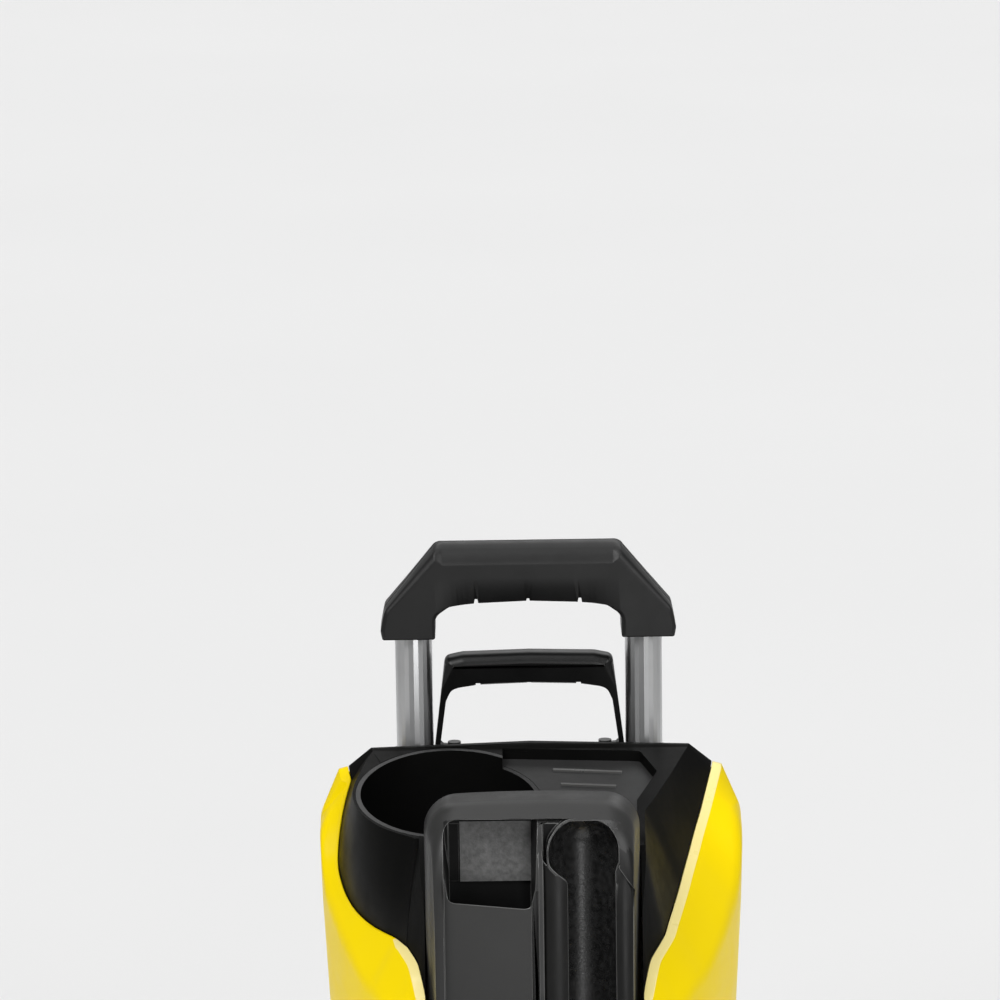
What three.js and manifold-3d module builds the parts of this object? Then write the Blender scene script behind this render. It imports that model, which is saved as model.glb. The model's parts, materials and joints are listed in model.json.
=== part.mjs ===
// An upright electric pressure washer with a telescopic pull handle, in millimetres.
// X runs to the right as seen from the front, +Y to the rear and +Z up. The origin is on the floor,
// under the centre of the machine.
import * as THREE from "three";
import { mergeVertices } from "three/addons/utils/BufferGeometryUtils.js";
import Module from "manifold-3d";

const wasm = await Module();
wasm.setup();

// ---- driving dimensions -------------------------------------------------------------------------

const GAP = 0.3; // clearance between neighbouring pieces
const SKIN = 3; // wall thickness of the moulded covers

const HULL_FRONT = -104;
const HULL_REAR = 138;
const HULL_BOTTOM = 88;
const TOP_SLOPE = 0.22; // the lid falls this much per millimetre towards the front
const LID_HEIGHT = 435; // height of the lid's plane at LID_REAR
const LID_REAR = 90;
const REAR_SPLIT = 94; // the lid ends and the rear cover starts

const WELL_X = -58.4; // the detergent bottle's well
const WELL_Y = 16;
const WELL_RADIUS = 63;
const WELL_FLOOR = 300;
const TRAY_DEPTH = 8;

const PANEL_HALF = 75; // half width of the accessory panel at its root
const PANEL_BACK = -62;
const PANEL_BOTTOM = 150;
const CHANNEL_X = 35.6; // the upright channel that holds the lance
const CHANNEL_Y = -95;
const CHANNEL_RADIUS = 25;

const TUBE_X = 83.5; // the telescopic handle's tubes
const TUBE_Y = 112;
const TUBE_RADIUS = 13.5;
const TUBE_BORE = 12.2;
const TUBE_BOTTOM = 35;
const TUBE_TOP = 532;

const WHEEL_Y = 115;
const WHEEL_RADIUS = 75;
const WHEEL_INNER = 117;
const WHEEL_OUTER = 150;
const AXLE_RADIUS = 6;

const PUMP_X = 15; // the upright axis of motor and pump
const PUMP_Y = 22;
const PISTON_ORBIT = 20;
const SWASH_TILT = THREE.MathUtils.degToRad(8);
const SPRING_FOOT = 118;

const PORT_Z = 116; // water inlet and high-pressure outlet
const PORT_X = 47;
const CONSOLE_FRONT = -135;

// ---- materials ----------------------------------------------------------------------------------

const plastic = (color, roughness) =>
  new THREE.MeshStandardMaterial({ color, roughness, metalness: 0 });
const metal = (color, roughness) =>
  new THREE.MeshStandardMaterial({ color, roughness, metalness: 1 });

const yellow = plastic(0xf5d900, 0.32);
const black = plastic(0x232322, 0.5);
const textured = plastic(0x3a3a39, 0.6);
const padGrey = plastic(0x565655, 0.75);
const gripBlack = plastic(0x1f1f1f, 0.5);
const rubber = plastic(0x191919, 0.85);
const grey = plastic(0x6b6d6f, 0.5);
const white = plastic(0xd9d9d5, 0.5);
const aluminium = metal(0xb9bbbd, 0.3);
const steel = metal(0x8e9092, 0.35);
const brass = metal(0xb99a52, 0.35);

// ---- solids -------------------------------------------------------------------------------------

// A closed geometry as a solid, with its faces turned outwards.
function solid(geometry) {
  const bare = new THREE.BufferGeometry();
  bare.setAttribute("position", geometry.getAttribute("position"));
  if (geometry.index) bare.setIndex(geometry.index);
  const merged = mergeVertices(bare, 1e-3);
  const triVerts = new Uint32Array(merged.index.array);
  const vertProperties = new Float32Array(merged.attributes.position.array);
  const make = () =>
    new wasm.Manifold(new wasm.Mesh({ numProp: 3, vertProperties, triVerts }));
  const made = make();
  if (made.volume() > 0) return made;
  for (let i = 0; i < triVerts.length; i += 3)
    [triVerts[i + 1], triVerts[i + 2]] = [triVerts[i + 2], triVerts[i + 1]];
  return make();
}

function geometryOf(shape) {
  const mesh = shape.getMesh();
  const stride = mesh.numProp;
  const flat = new Float32Array(mesh.numVert * 3);
  for (let i = 0; i < mesh.numVert; i++)
    flat.set(mesh.vertProperties.subarray(i * stride, i * stride + 3), i * 3);
  const geometry = new THREE.BufferGeometry();
  geometry.setAttribute("position", new THREE.BufferAttribute(flat, 3));
  geometry.setIndex(new THREE.BufferAttribute(new Uint32Array(mesh.triVerts), 1));
  return geometry;
}

const union = (...shapes) => shapes.reduce((all, next) => all.add(next));

function mirrored(shape) {
  const geometry = geometryOf(shape);
  geometry.applyMatrix4(new THREE.Matrix4().makeScale(-1, 1, 1));
  return solid(geometry);
}

function moved(shape, x, y, z) {
  return solid(geometryOf(shape).translate(x, y, z));
}

function box(x0, x1, y0, y1, z0, z1) {
  const geometry = new THREE.BoxGeometry(x1 - x0, y1 - y0, z1 - z0);
  geometry.translate((x0 + x1) / 2, (y0 + y1) / 2, (z0 + z1) / 2);
  return solid(geometry);
}

// A closed outline with its corners rounded off to the given radius.
function outline(points, radius = 0, steps = 3) {
  const corners = points.map(([x, y]) => new THREE.Vector2(x, y));
  const shape = new THREE.Shape();
  corners.forEach((corner, i) => {
    const before = corners[(i + corners.length - 1) % corners.length];
    const after = corners[(i + 1) % corners.length];
    const reach = Math.min(
      radius,
      corner.distanceTo(before) * 0.45,
      corner.distanceTo(after) * 0.45,
    );
    if (reach < 0.01) {
      if (i) shape.lineTo(corner.x, corner.y);
      else shape.moveTo(corner.x, corner.y);
      return;
    }
    const start = corner.clone().lerp(before, reach / corner.distanceTo(before));
    const end = corner.clone().lerp(after, reach / corner.distanceTo(after));
    if (i) shape.lineTo(start.x, start.y);
    else shape.moveTo(start.x, start.y);
    shape.quadraticCurveTo(corner.x, corner.y, end.x, end.y);
  });
  shape.closePath();
  shape.userData = { steps };
  return shape;
}

function extruded(shape, depth) {
  return new THREE.ExtrudeGeometry(shape, {
    depth,
    bevelEnabled: false,
    curveSegments: shape.userData.steps,
  });
}

// Prisms of an outline given in XY, XZ and YZ.
function prismZ(points, z0, z1, radius, steps) {
  return solid(extruded(outline(points, radius, steps), z1 - z0).translate(0, 0, z0));
}

function prismY(points, y0, y1, radius, steps) {
  const geometry = extruded(outline(points, radius, steps), y1 - y0);
  return solid(geometry.rotateX(Math.PI / 2).translate(0, y1, 0));
}

function prismX(points, x0, x1, radius, steps) {
  const geometry = extruded(outline(points, radius, steps), x1 - x0);
  const turn = new THREE.Matrix4().makeBasis(
    new THREE.Vector3(0, 1, 0),
    new THREE.Vector3(0, 0, 1),
    new THREE.Vector3(1, 0, 0),
  );
  return solid(geometry.applyMatrix4(turn).translate(x0, 0, 0));
}

// Bodies of revolution. A profile is a list of [radius, distance along the axis].
function turned(profile, segments) {
  const points = profile.map(([r, h]) => new THREE.Vector2(r, h));
  if (profile[0][0] > 0) points.push(points[0].clone());
  return new THREE.LatheGeometry(points, segments);
}

const latheZ = (profile, segments = 16) =>
  solid(turned(profile, segments).rotateX(Math.PI / 2));
const latheX = (profile, segments = 16) =>
  solid(turned(profile, segments).rotateZ(-Math.PI / 2));
const latheY = (profile, segments = 16) => solid(turned(profile, segments));

const barZ = (r, z0, z1, segments = 16) =>
  latheZ([[0, z0], [r, z0], [r, z1], [0, z1]], segments);
const barY = (r, y0, y1, segments = 16) =>
  latheY([[0, y0], [r, y0], [r, y1], [0, y1]], segments);
const barX = (r, x0, x1, segments = 16) =>
  latheX([[0, x0], [r, x0], [r, x1], [0, x1]], segments);
const ringZ = (r0, r1, z0, z1, segments = 16) =>
  latheZ([[r0, z0], [r1, z0], [r1, z1], [r0, z1]], segments);
const ringX = (r0, r1, x0, x1, segments = 16) =>
  latheX([[r0, x0], [r1, x0], [r1, x1], [r0, x1]], segments);

// A round bar swept along a curve through the given points.
function pipe(points, radius, steps, sides = 8) {
  const path = new THREE.CatmullRomCurve3(points.map((p) => new THREE.Vector3(...p)));
  const section = new THREE.Shape();
  for (let i = 0; i < sides; i++) {
    const angle = (i / sides) * 2 * Math.PI;
    const x = radius * Math.cos(angle);
    const y = radius * Math.sin(angle);
    if (i) section.lineTo(x, y);
    else section.moveTo(x, y);
  }
  section.closePath();
  return solid(
    new THREE.ExtrudeGeometry(section, { steps, extrudePath: path, bevelEnabled: false }),
  );
}

// A skin through a row of closed sections with equal numbers of points, capped at both ends.
// flat drops the coordinate that the sections are stacked along.
function loft(sections, flat = (p) => new THREE.Vector2(p.x, p.z)) {
  const count = sections[0].length;
  const positions = sections.flat().flatMap((p) => [p.x, p.y, p.z]);
  const faces = [];
  for (let s = 0; s + 1 < sections.length; s++)
    for (let i = 0; i < count; i++) {
      const a = s * count + i;
      const b = s * count + ((i + 1) % count);
      faces.push(a, b, b + count, a, b + count, a + count);
    }
  const cap = (section, start, flip) => {
    for (const [a, b, c] of THREE.ShapeUtils.triangulateShape(section.map(flat), []))
      faces.push(start + a, start + (flip ? c : b), start + (flip ? b : c));
  };
  const anticlockwise = !THREE.ShapeUtils.isClockWise(sections[0].map(flat));
  cap(sections[0], 0, anticlockwise);
  cap(sections[sections.length - 1], (sections.length - 1) * count, !anticlockwise);
  const geometry = new THREE.BufferGeometry();
  geometry.setAttribute("position", new THREE.Float32BufferAttribute(positions, 3));
  geometry.setIndex(faces);
  return solid(geometry);
}

const seenFromAbove = (p) => new THREE.Vector2(p.x, p.y);

// ---- hull ---------------------------------------------------------------------------------------

// The hull's right half at stations along Y: half width and height of the shoulder corner, then the
// seam between cover and side shell (x, z), then the edge of the lid (x, z), and the centre height.
const STATIONS = [
  [-104, 82, 280, 73, 299, 70, 301, 302],
  [-100, 88.5, 282, 75, 305, 71, 312, 313],
  [-93, 95.5, 286, 78, 317, 73, 331, 332],
  [-85, 101.5, 290, 80.5, 324, 75, 350, 352],
  [-74, 109, 295, 86, 330, 77.5, 374, 377],
  [-62, 115.5, 299, 91.5, 335.5, 79, 395, 399],
  [-50, 121.6, 303, 94.5, 340.5, 79, 404.2, 404.2],
  [-33, 129, 312, 99, 348, 79.5, 408, 408],
  [-17, 135, 320, 103, 354.7, 80, 411.5, 411.5],
  [0, 140.6, 329, 107, 362.5, 86.3, 415.2, 415.2],
  [20, 146.3, 337, 112, 372, 93.5, 419.6, 419.6],
  [36, 149.9, 352, 116.2, 381.2, 99.4, 423.1, 423.1],
  [52, 152.3, 376, 121.3, 392, 104.7, 426.6, 426.6],
  [68, 153, 384, 126, 403.5, 110, 430.2, 430.2],
  [80, 153, 384, 129.5, 412.2, 114, 432.6, 432.8],
  [84, 153, 384, 130.7, 415.2, 114.8, 433.4, 436],
  [90, 153, 384, 131.8, 419, 115.2, 432.4, 436],
  [93.6, 152.6, 384, 131.4, 414, 114.5, 421.5, 423],
  [108, 150, 382, 128.5, 411, 112.5, 420.5, 422],
  [122, 145, 380, 124, 409, 109, 419.5, 421],
  [132, 137, 377, 117, 405, 103, 417, 419],
  [138, 125, 372, 106, 398, 94, 410, 412],
];

function hullSection([y, width, corner, seamX, seamZ, lidX, lidZ, centreZ]) {
  const side = corner - HULL_BOTTOM;
  const half = [
    [width - 13, HULL_BOTTOM],
    [width - 6, HULL_BOTTOM + side * 0.52],
    [width - 1.5, HULL_BOTTOM + side * 0.84],
    [width, corner - 7],
    [width - 1.5 - (width - seamX) * 0.1, corner + (seamZ - corner) * 0.15],
    [seamX, seamZ],
    [lidX, lidZ],
  ];
  const right = half.map(([x, z]) => new THREE.Vector3(x, y, z));
  const left = half.map(([x, z]) => new THREE.Vector3(-x, y, z)).reverse();
  return [...right, new THREE.Vector3(0, y, centreZ), ...left];
}

const hull = loft(STATIONS.map(hullSection));

// The space inside the hull's skin: the same form, one wall thickness smaller all round.
function inside(shape) {
  const middle = (HULL_FRONT + HULL_REAR) / 2;
  const length = HULL_REAR - HULL_FRONT;
  const geometry = geometryOf(shape);
  geometry.translate(0, -middle, 0);
  geometry.scale(1 - SKIN / 140, 1 - (2 * SKIN) / length, 1);
  geometry.translate(0, middle, -SKIN);
  return solid(geometry);
}

const hullInside = inside(hull);
const hullSkin = hull.subtract(hullInside);

// Everything outside and below the seam on the right, drawn back from the seam by the given gap.
function sideRegion(gap) {
  const sections = STATIONS.map(([y, , , seamX, seamZ]) => {
    const x = seamX + gap * 0.6;
    const z = seamZ - gap * 0.8;
    const ring = [
      [x - 6.4, z - 4.8],
      [x + 64, z + 48],
      [240, z + 48],
      [240, 0],
      [x - 6.4, 0],
    ];
    return ring.map(([px, pz]) => new THREE.Vector3(px, y, pz));
  });
  const shifted = (ring, dy) => ring.map((p) => p.clone().setY(p.y + dy));
  sections.unshift(shifted(sections[0], -20));
  sections.push(shifted(sections[sections.length - 1], 20));
  return loft(sections);
}

// The lid's plane is a horizontal drawing sheared down towards the front.
const lidPlane = (y) => LID_HEIGHT - TOP_SLOPE * (LID_REAR - y);
function onLid(geometry) {
  const shear = new THREE.Matrix4().set(
    1, 0, 0, 0,
    0, 1, 0, 0,
    0, TOP_SLOPE, 1, lidPlane(0),
    0, 0, 0, 1,
  );
  return solid(geometry.applyMatrix4(shear));
}

function roundOnLid(profile, segments) {
  const geometry = turned(profile, segments).rotateX(Math.PI / 2);
  return onLid(geometry.translate(WELL_X, WELL_Y, 0));
}

// The wall that rises out of the left shoulder around the bottle well: points of its top edge in
// the lid's plane (x, y), each with the point of the seam below it (x, y, z). The last ones close the
// loop under the lid.
const SWELL = [
  [-113, 82.5, -129, 82, 412.5],
  [-116.5, 70, -131.5, 74, 406],
  [-119.5, 58, -134.5, 66, 396],
  [-122.5, 46, -137, 55, 384],
  [-125.3, 34, -138.6, 44, 370],
  [-126.8, 22, -138.2, 32, 358],
  [-126.6, 10, -134, 17, 347.5],
  [-123.5, -5, -128, 0, 341],
  [-117, -19, -121, -16, 337.5],
  [-107, -32.5, -113, -30, 335],
  [-94, -42.5, -105, -45, 333.5],
  [-79, -49.4, -96, -58, 331.5],
  [-66, -52, -80, -66, 331],
  [-40, -50, -40, -54, 331],
  [0, 0, 0, 0, 331],
  [0, 50, 0, 50, 331],
  [-40, 78, -40, 78, 331],
  [-90, 80, -90, 80, 370],
];

// The same wall drawn in towards the well's axis by a factor, and lowered.
function swell(factor, sink) {
  const drawn = (x, y, z, scale) =>
    new THREE.Vector3(WELL_X + (x - WELL_X) * scale, WELL_Y + (y - WELL_Y) * scale, z);
  const top = SWELL.map(([x, y]) => {
    const point = drawn(x, y, 0, factor);
    return point.setZ(lidPlane(point.y) - sink);
  });
  const seam = SWELL.map(([, , x, y, z]) => drawn(x, y, z - sink * 0.5, factor));
  const root = SWELL.map(([, , x, y, z]) => drawn(x, y, z - 40, factor * 0.86));
  return loft([root, seam, top], seenFromAbove);
}

const bulge = swell(1, 0.25);
const bulgeClear = swell(1.006, -0.5);
const bulgeInside = union(
  swell(1 - SKIN / 80, SKIN + 0.2),
  moved(barZ(66.7, 200, 340, 36), WELL_X, WELL_Y, 0),
);

// The tray to the right of the well, with a chevron end wall.
const TRAY = [
  [-20, 80.6],
  [72, 75],
  [79.4, 73.7],
  [90.6, 43],
  [74.8, 0.3],
  [74.8, -70],
  [-20, -70],
];
const traySpace = onLid(
  extruded(outline(TRAY), 40).translate(0, 0, -TRAY_DEPTH),
);
const TRAY_FLOOR = [
  [-30, 83.5],
  [73, 78],
  [82, 76],
  [93.6, 43],
  [77.8, 0],
  [77.8, -61],
  [-30, -61],
];
const trayFloor = onLid(
  extruded(outline(TRAY_FLOOR), TRAY_DEPTH + 1).translate(0, 0, -TRAY_DEPTH - 3),
);

function trayRib(x0, y0, x1, y1) {
  const dx = x1 - x0;
  const dy = y1 - y0;
  const geometry = new THREE.BoxGeometry(Math.hypot(dx, dy), 2.4, 2.4);
  geometry.rotateZ(Math.atan2(dy, dx));
  geometry.translate((x0 + x1) / 2, (y0 + y1) / 2, -TRAY_DEPTH);
  return onLid(geometry);
}

const panelSpace = box(
  -PANEL_HALF - 0.6,
  PANEL_HALF + 0.6,
  -160,
  PANEL_BACK + GAP,
  0,
  500,
);
const rearSpace = box(-200, 200, REAR_SPLIT, 200, 0, 500);

// ---- covers -------------------------------------------------------------------------------------

function topCover() {
  const coverRegion = sideRegion(0);
  const skin = hullSkin.subtract(coverRegion).subtract(mirrored(coverRegion));
  const wall = bulge.subtract(bulgeInside).subtract(hullInside);
  const wellMouth = roundOnLid([[0, -60], [66.7, -60], [66.7, 30], [0, 30]], 36);
  return union(skin.subtract(bulgeInside), wall, trayFloor)
    .subtract(traySpace)
    .add(trayRib(16.3, 62.1, 65.8, 56.9))
    .add(trayRib(21.6, 40.2, 60.9, 36))
    .subtract(wellMouth)
    .subtract(panelSpace)
    .subtract(box(-200, 200, REAR_SPLIT - GAP, 200, 0, 500));
}

function sideShell() {
  const archCut = moved(barX(WHEEL_RADIUS + 6, 108, 170, 32), 0, WHEEL_Y, WHEEL_RADIUS);
  const archLining = moved(
    ringX(WHEEL_RADIUS + 6, WHEEL_RADIUS + 9, 109, 170, 32),
    0,
    WHEEL_Y,
    WHEEL_RADIUS,
  );
  const skin = hullSkin.intersect(sideRegion(0.45)).subtract(archCut);
  const liningSpace = box(0, 200, 0, HULL_REAR - 4, HULL_BOTTOM + 4, 200);
  return skin
    .add(archLining.intersect(hull).intersect(liningSpace))
    .subtract(panelSpace);
}

function rearCover() {
  const coverRegion = sideRegion(0);
  const ventSlots = [0, 1, 2, 3, 4].map((i) =>
    box(-32, 32, 120, 160, 178 + i * 11, 183 + i * 11),
  );
  const tubeHoles = [-1, 1].map((side) =>
    moved(barZ(17.1, 380, 440, 24), side * TUBE_X, TUBE_Y, 0),
  );
  const screwHoles = [-1, 1].map((side) =>
    moved(barZ(2.8, 380, 440, 10), side * 55, TUBE_Y, 0),
  );
  const glandHole = moved(barY(7.3, 120, 160, 16), 0, 0, 124);
  const hookHole = moved(barY(6.3, 120, 160, 16), 0, 0, 356);
  const holderHoles = [-1, 1].map((side) =>
    moved(barY(4.3, 120, 160, 12), side * 45, 0, 274),
  );
  return [
    ...ventSlots,
    ...tubeHoles,
    ...screwHoles,
    ...holderHoles,
    glandHole,
    hookHole,
    sideRegion(0),
    mirrored(coverRegion),
  ].reduce((left, cut) => left.subtract(cut), hullSkin.intersect(rearSpace));
}

// ---- bottle well --------------------------------------------------------------------------------

function bottleWell() {
  const lip = roundOnLid([[0, -10], [66.4, -10], [66.4, -0.2], [0, -0.2]], 36);
  const cup = moved(barZ(65.4, WELL_FLOOR - SKIN, 440, 36), WELL_X, WELL_Y, 0);
  const belowLip = roundOnLid([[0, -160], [66.4, -160], [66.4, -0.2], [0, -0.2]], 36);
  const hollow = moved(barZ(WELL_RADIUS, WELL_FLOOR, 460, 36), WELL_X, WELL_Y, 0);
  const drain = moved(barZ(9.3, 280, 320, 20), WELL_X, WELL_Y, 0);
  const trayCut = onLid(
    extruded(outline(TRAY), 40).translate(0, 0, -TRAY_DEPTH - 0.1),
  );
  return cup
    .intersect(belowLip)
    .add(lip)
    .subtract(hollow)
    .subtract(drain)
    .subtract(trayCut);
}

const bottleConnector = () =>
  latheZ(
    [
      [3, WELL_FLOOR - 24],
      [7, WELL_FLOOR - 24],
      [7, WELL_FLOOR - 12],
      [9, WELL_FLOOR - 12],
      [9, WELL_FLOOR + GAP],
      [15, WELL_FLOOR + GAP],
      [15, WELL_FLOOR + 4],
      [10, WELL_FLOOR + 6],
      [10, WELL_FLOOR + 18],
      [7.5, WELL_FLOOR + 24],
      [3, WELL_FLOOR + 24],
    ],
    14,
  );

// ---- accessory panel ----------------------------------------------------------------------------

// The panel's body at stations along Y: half width, height of the top, radius of the top corners.
const PANEL_STATIONS = [
  [-62, 75, 434, 20],
  [-66, 74.6, 438, 20],
  [-74, 73.8, 436, 20],
  [-100, 70.6, 431.5, 19],
  [-110, 69.4, 424, 18],
  [-118, 68.6, 405, 17],
  [-122, 68.2, 372, 16],
  [-125, 68, 310, 14],
];

function panelSection(y, half, top, radius, inset, floor) {
  const h = half - inset;
  const t = top - inset;
  const r = Math.max(radius - inset, 4);
  const arc = [0, 22.5, 45, 67.5, 90].map((a) => THREE.MathUtils.degToRad(a));
  const right = [
    [h, floor],
    ...arc.map((a) => [h - r + r * Math.cos(a), t - r + r * Math.sin(a)]),
  ];
  const left = right.map(([x, z]) => [-x, z]).reverse();
  return [...right, ...left].map(([x, z]) => new THREE.Vector3(x, y, z));
}

function accessoryPanel() {
  const body = loft(
    PANEL_STATIONS.map(([y, half, top, radius]) =>
      panelSection(y, half, top, radius, 0, PANEL_BOTTOM),
    ),
  );
  const hollow = loft(
    PANEL_STATIONS.map(([y, half, top, radius]) =>
      panelSection(y + 4, half, top, radius, SKIN, PANEL_BOTTOM - 20),
    ),
  );
  const pocketWall = box(-64, 3, -120, -66, 297, 431);
  const channelWall = union(
    moved(barZ(CHANNEL_RADIUS + 3, 100, 404, 20), CHANNEL_X, CHANNEL_Y, 0),
    box(CHANNEL_X - 28, CHANNEL_X + 28, CHANNEL_Y - 40, CHANNEL_Y, 100, 432),
    moved(
      solid(new THREE.SphereGeometry(CHANNEL_RADIUS + 3, 20, 8)),
      CHANNEL_X,
      CHANNEL_Y,
      404,
    ),
  );
  const rib = box(3, 8, -118, -64, PANEL_BOTTOM, 426);
  const pocket = prismX(
    [
      [-70, 430.5],
      [-70, 378],
      [-68, 378],
      [-74, 301],
      [-117, 301],
      [-119, 374],
      [-135, 374],
      [-135, 430.5],
    ],
    -60,
    -0.5,
    0,
  );
  const channelTop = solid(new THREE.SphereGeometry(CHANNEL_RADIUS, 20, 8));
  const channel = union(
    moved(barZ(CHANNEL_RADIUS, 100, 404, 20), CHANNEL_X, CHANNEL_Y, 0),
    moved(channelTop, CHANNEL_X, CHANNEL_Y, 404),
  );
  // The channel is open to the front at its head, and down a narrower slot between two lips.
  const window = prismY(
    [
      [25.5, 120],
      [25.5, 394],
      [11, 407],
      [10.8, 418],
      [20, 429.5],
      [51, 429.5],
      [60.4, 418],
      [60.2, 403],
      [55.5, 394],
      [55.5, 120],
    ],
    -150,
    CHANNEL_Y,
    5,
  );
  const padSpace = box(-51, -0.5, -70.5, -68, 378, 422);
  return union(
    body.subtract(hollow),
    body.intersect(union(pocketWall, channelWall, rib)),
  )
    .subtract(pocket)
    .subtract(channel)
    .subtract(window)
    .subtract(padSpace)
    .subtract(box(-90, 90, PANEL_BACK - GAP, 0, 100, 460));
}

const pocketPad = () => box(-50.5, -1, -71.6, -68.3, 378.4, 421.6);

// ---- lower body ---------------------------------------------------------------------------------

const BASE_PLAN = [
  [58, -132],
  [74, -126],
  [82, -108],
  [91, -85],
  [104, -62],
  [118, -33],
  [130, 0],
  [138, 33],
  [108, 40],
  [108, 130],
  [98, 137],
];

function baseRing(inset, z) {
  const middle = 10;
  const across = 1 - inset / 110;
  const along = 1 - inset / 135;
  const right = BASE_PLAN.map(
    ([x, y]) => new THREE.Vector3(x * across, middle + (y - middle) * along, z),
  );
  const left = right.map((p) => new THREE.Vector3(-p.x, p.y, p.z)).reverse();
  return [...right, ...left];
}

function baseTray() {
  const rim = HULL_BOTTOM - 0.4;
  const outer = loft(
    [baseRing(9, 8), baseRing(2, 17), baseRing(0, 40), baseRing(0, rim)],
    seenFromAbove,
  );
  const inner = loft([baseRing(12, 11), baseRing(5, 19), baseRing(SKIN, 100)], seenFromAbove);
  const archWalls = [-1, 1].map((side) => {
    const wall = box(105, 108, 44, 131, 80, 158);
    return side > 0 ? wall : mirrored(wall);
  });
  const cuts = [-1, 1].flatMap((side) => [
    moved(barX(AXLE_RADIUS + GAP, -12, 12, 20), side * 108, WHEEL_Y, WHEEL_RADIUS),
    moved(barZ(4.3, 0, 20, 12), side * 46, -92, 0),
  ]);
  const shell = union(outer.subtract(inner), ...archWalls);
  return cuts.reduce((left, cut) => left.subtract(cut), shell);
}

const frontFoot = () =>
  union(
    prismZ([[-20, -11], [20, -11], [20, 11], [-20, 11]], 0, 7.7, 5, 2),
    barZ(4, 7, 13.5, 12),
    latheZ([[0, 11.6], [6.5, 11.6], [4, 16], [0, 16]], 12),
  );

function frontConsole() {
  const bottom = HULL_BOTTOM + GAP;
  const side = [
    [-64, bottom],
    [CONSOLE_FRONT + 3, bottom],
    [CONSOLE_FRONT, bottom + 8],
    [CONSOLE_FRONT, 141],
    [CONSOLE_FRONT + 10, PANEL_BOTTOM - GAP],
    [-64, PANEL_BOTTOM - GAP],
  ];
  const outer = prismX(side, -74.6, 74.6, 2, 1);
  const inner = prismX(
    [
      [-50, bottom - 10],
      [CONSOLE_FRONT + SKIN, bottom - 10],
      [CONSOLE_FRONT + SKIN, 139],
      [CONSOLE_FRONT + 12, PANEL_BOTTOM - SKIN],
      [-50, PANEL_BOTTOM - SKIN],
    ],
    -71.6,
    71.6,
  );
  return outer
    .subtract(inner)
    .subtract(moved(barY(14.3, -150, -120), PORT_X, 0, PORT_Z))
    .subtract(moved(barY(14.3, -150, -120), -PORT_X, 0, PORT_Z))
    .subtract(moved(barY(8.3, -150, -120), 0, 0, 122));
}

// ---- controls and ports -------------------------------------------------------------------------

function switchKnob() {
  const dial = latheY(
    [
      [0, -128.4],
      [8, -128.4],
      [8, -135.6],
      [23, -135.6],
      [24, -137],
      [24, -145],
      [21.5, -147.5],
      [0, -147.5],
    ],
    24,
  );
  const bar = prismY(
    [[-6, -21], [6, -21], [4.5, 21], [-4.5, 21]],
    -158,
    -146,
    3,
  );
  return union(dial, bar);
}

const switchBox = () =>
  union(
    box(-22, 22, -128, -92, 100, 142),
    box(-14, -8, -92.5, -84, 108, 116),
    box(8, 14, -92.5, -84, 108, 116),
  );

// Ports are drawn along -Y from the console's wall.
const outletBody = () =>
  latheY([
    [5, -112],
    [9, -112],
    [9, -125],
    [17, -125],
    [17, CONSOLE_FRONT + SKIN + GAP],
    [14, CONSOLE_FRONT + SKIN + GAP],
    [14, -149],
    [11, -149],
    [11, -186],
    [9.5, -190],
    [5, -190],
  ]);

const releaseCollar = () =>
  latheY([
    [11.3, -154],
    [17, -154],
    [18, -157],
    [16.6, -161],
    [16.6, -168],
    [18, -172],
    [17, -175],
    [11.3, -175],
  ]);

const inletConnector = () =>
  latheY([
    [4, -112],
    [9, -112],
    [9, -125],
    [17, -125],
    [17, CONSOLE_FRONT + SKIN + GAP],
    [14, CONSOLE_FRONT + SKIN + GAP],
    [14, -138],
    [19, -138],
    [19, -143],
    [13.2, -143],
    [13.2, -163],
    [11, -166],
    [11, -170],
    [8.5, -172],
    [8.5, -128],
    [4, -128],
  ]);

const inletFilter = () =>
  latheY(
    [
      [5.2, -129],
      [6.2, -129],
      [7.6, -165],
      [8.2, -165],
      [8.2, -168],
      [6.4, -168],
    ],
    16,
  );

// ---- motor and pump -----------------------------------------------------------------------------

const motorHousing = () =>
  latheZ(
    [
      [8.3, 168],
      [50, 168],
      [52, 172],
      [52, 284],
      [46, 290],
      [8.3, 290],
      [8.3, 285],
      [44, 285],
      [44, 173],
      [8.3, 173],
    ],
    24,
  );

const motorRotor = () =>
  latheZ([
    [0, 149],
    [4, 149],
    [4, 186],
    [40, 186],
    [40, 270],
    [4, 270],
    [4, 289],
    [0, 289],
  ]);

function swashPlate() {
  const blank = ringZ(4.3, 30, 140, 158, 24);
  const wedge = new THREE.BoxGeometry(100, 100, 40);
  wedge.translate(0, 0, -20);
  wedge.rotateY(-SWASH_TILT);
  wedge.translate(0, 0, 150);
  return blank.subtract(solid(wedge));
}

const pistonCentre = (index) => {
  const angle = Math.PI / 2 + (index * 2 * Math.PI) / 3;
  return [PISTON_ORBIT * Math.cos(angle), PISTON_ORBIT * Math.sin(angle)];
};

const LOWEST_SWASH = 150 - (PISTON_ORBIT + 6) * Math.tan(SWASH_TILT);
const PISTON_HEAD = LOWEST_SWASH - GAP;

const piston = () =>
  latheZ(
    [
      [0, 92],
      [4, 92],
      [4, PISTON_HEAD - 4],
      [6, PISTON_HEAD - 4],
      [6, PISTON_HEAD],
      [0, PISTON_HEAD],
    ],
    12,
  );

function pistonSpring() {
  const turns = 3;
  const bottom = SPRING_FOOT + 0.9;
  const height = PISTON_HEAD - 4 - 0.9 - bottom;
  const points = [];
  for (let i = 0; i <= turns * 8; i++) {
    const angle = (i / 8) * 2 * Math.PI;
    points.push([5 * Math.cos(angle), 5 * Math.sin(angle), bottom + (height * i) / (turns * 8)]);
  }
  return pipe(points, 0.55, turns * 8, 4);
}

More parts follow.
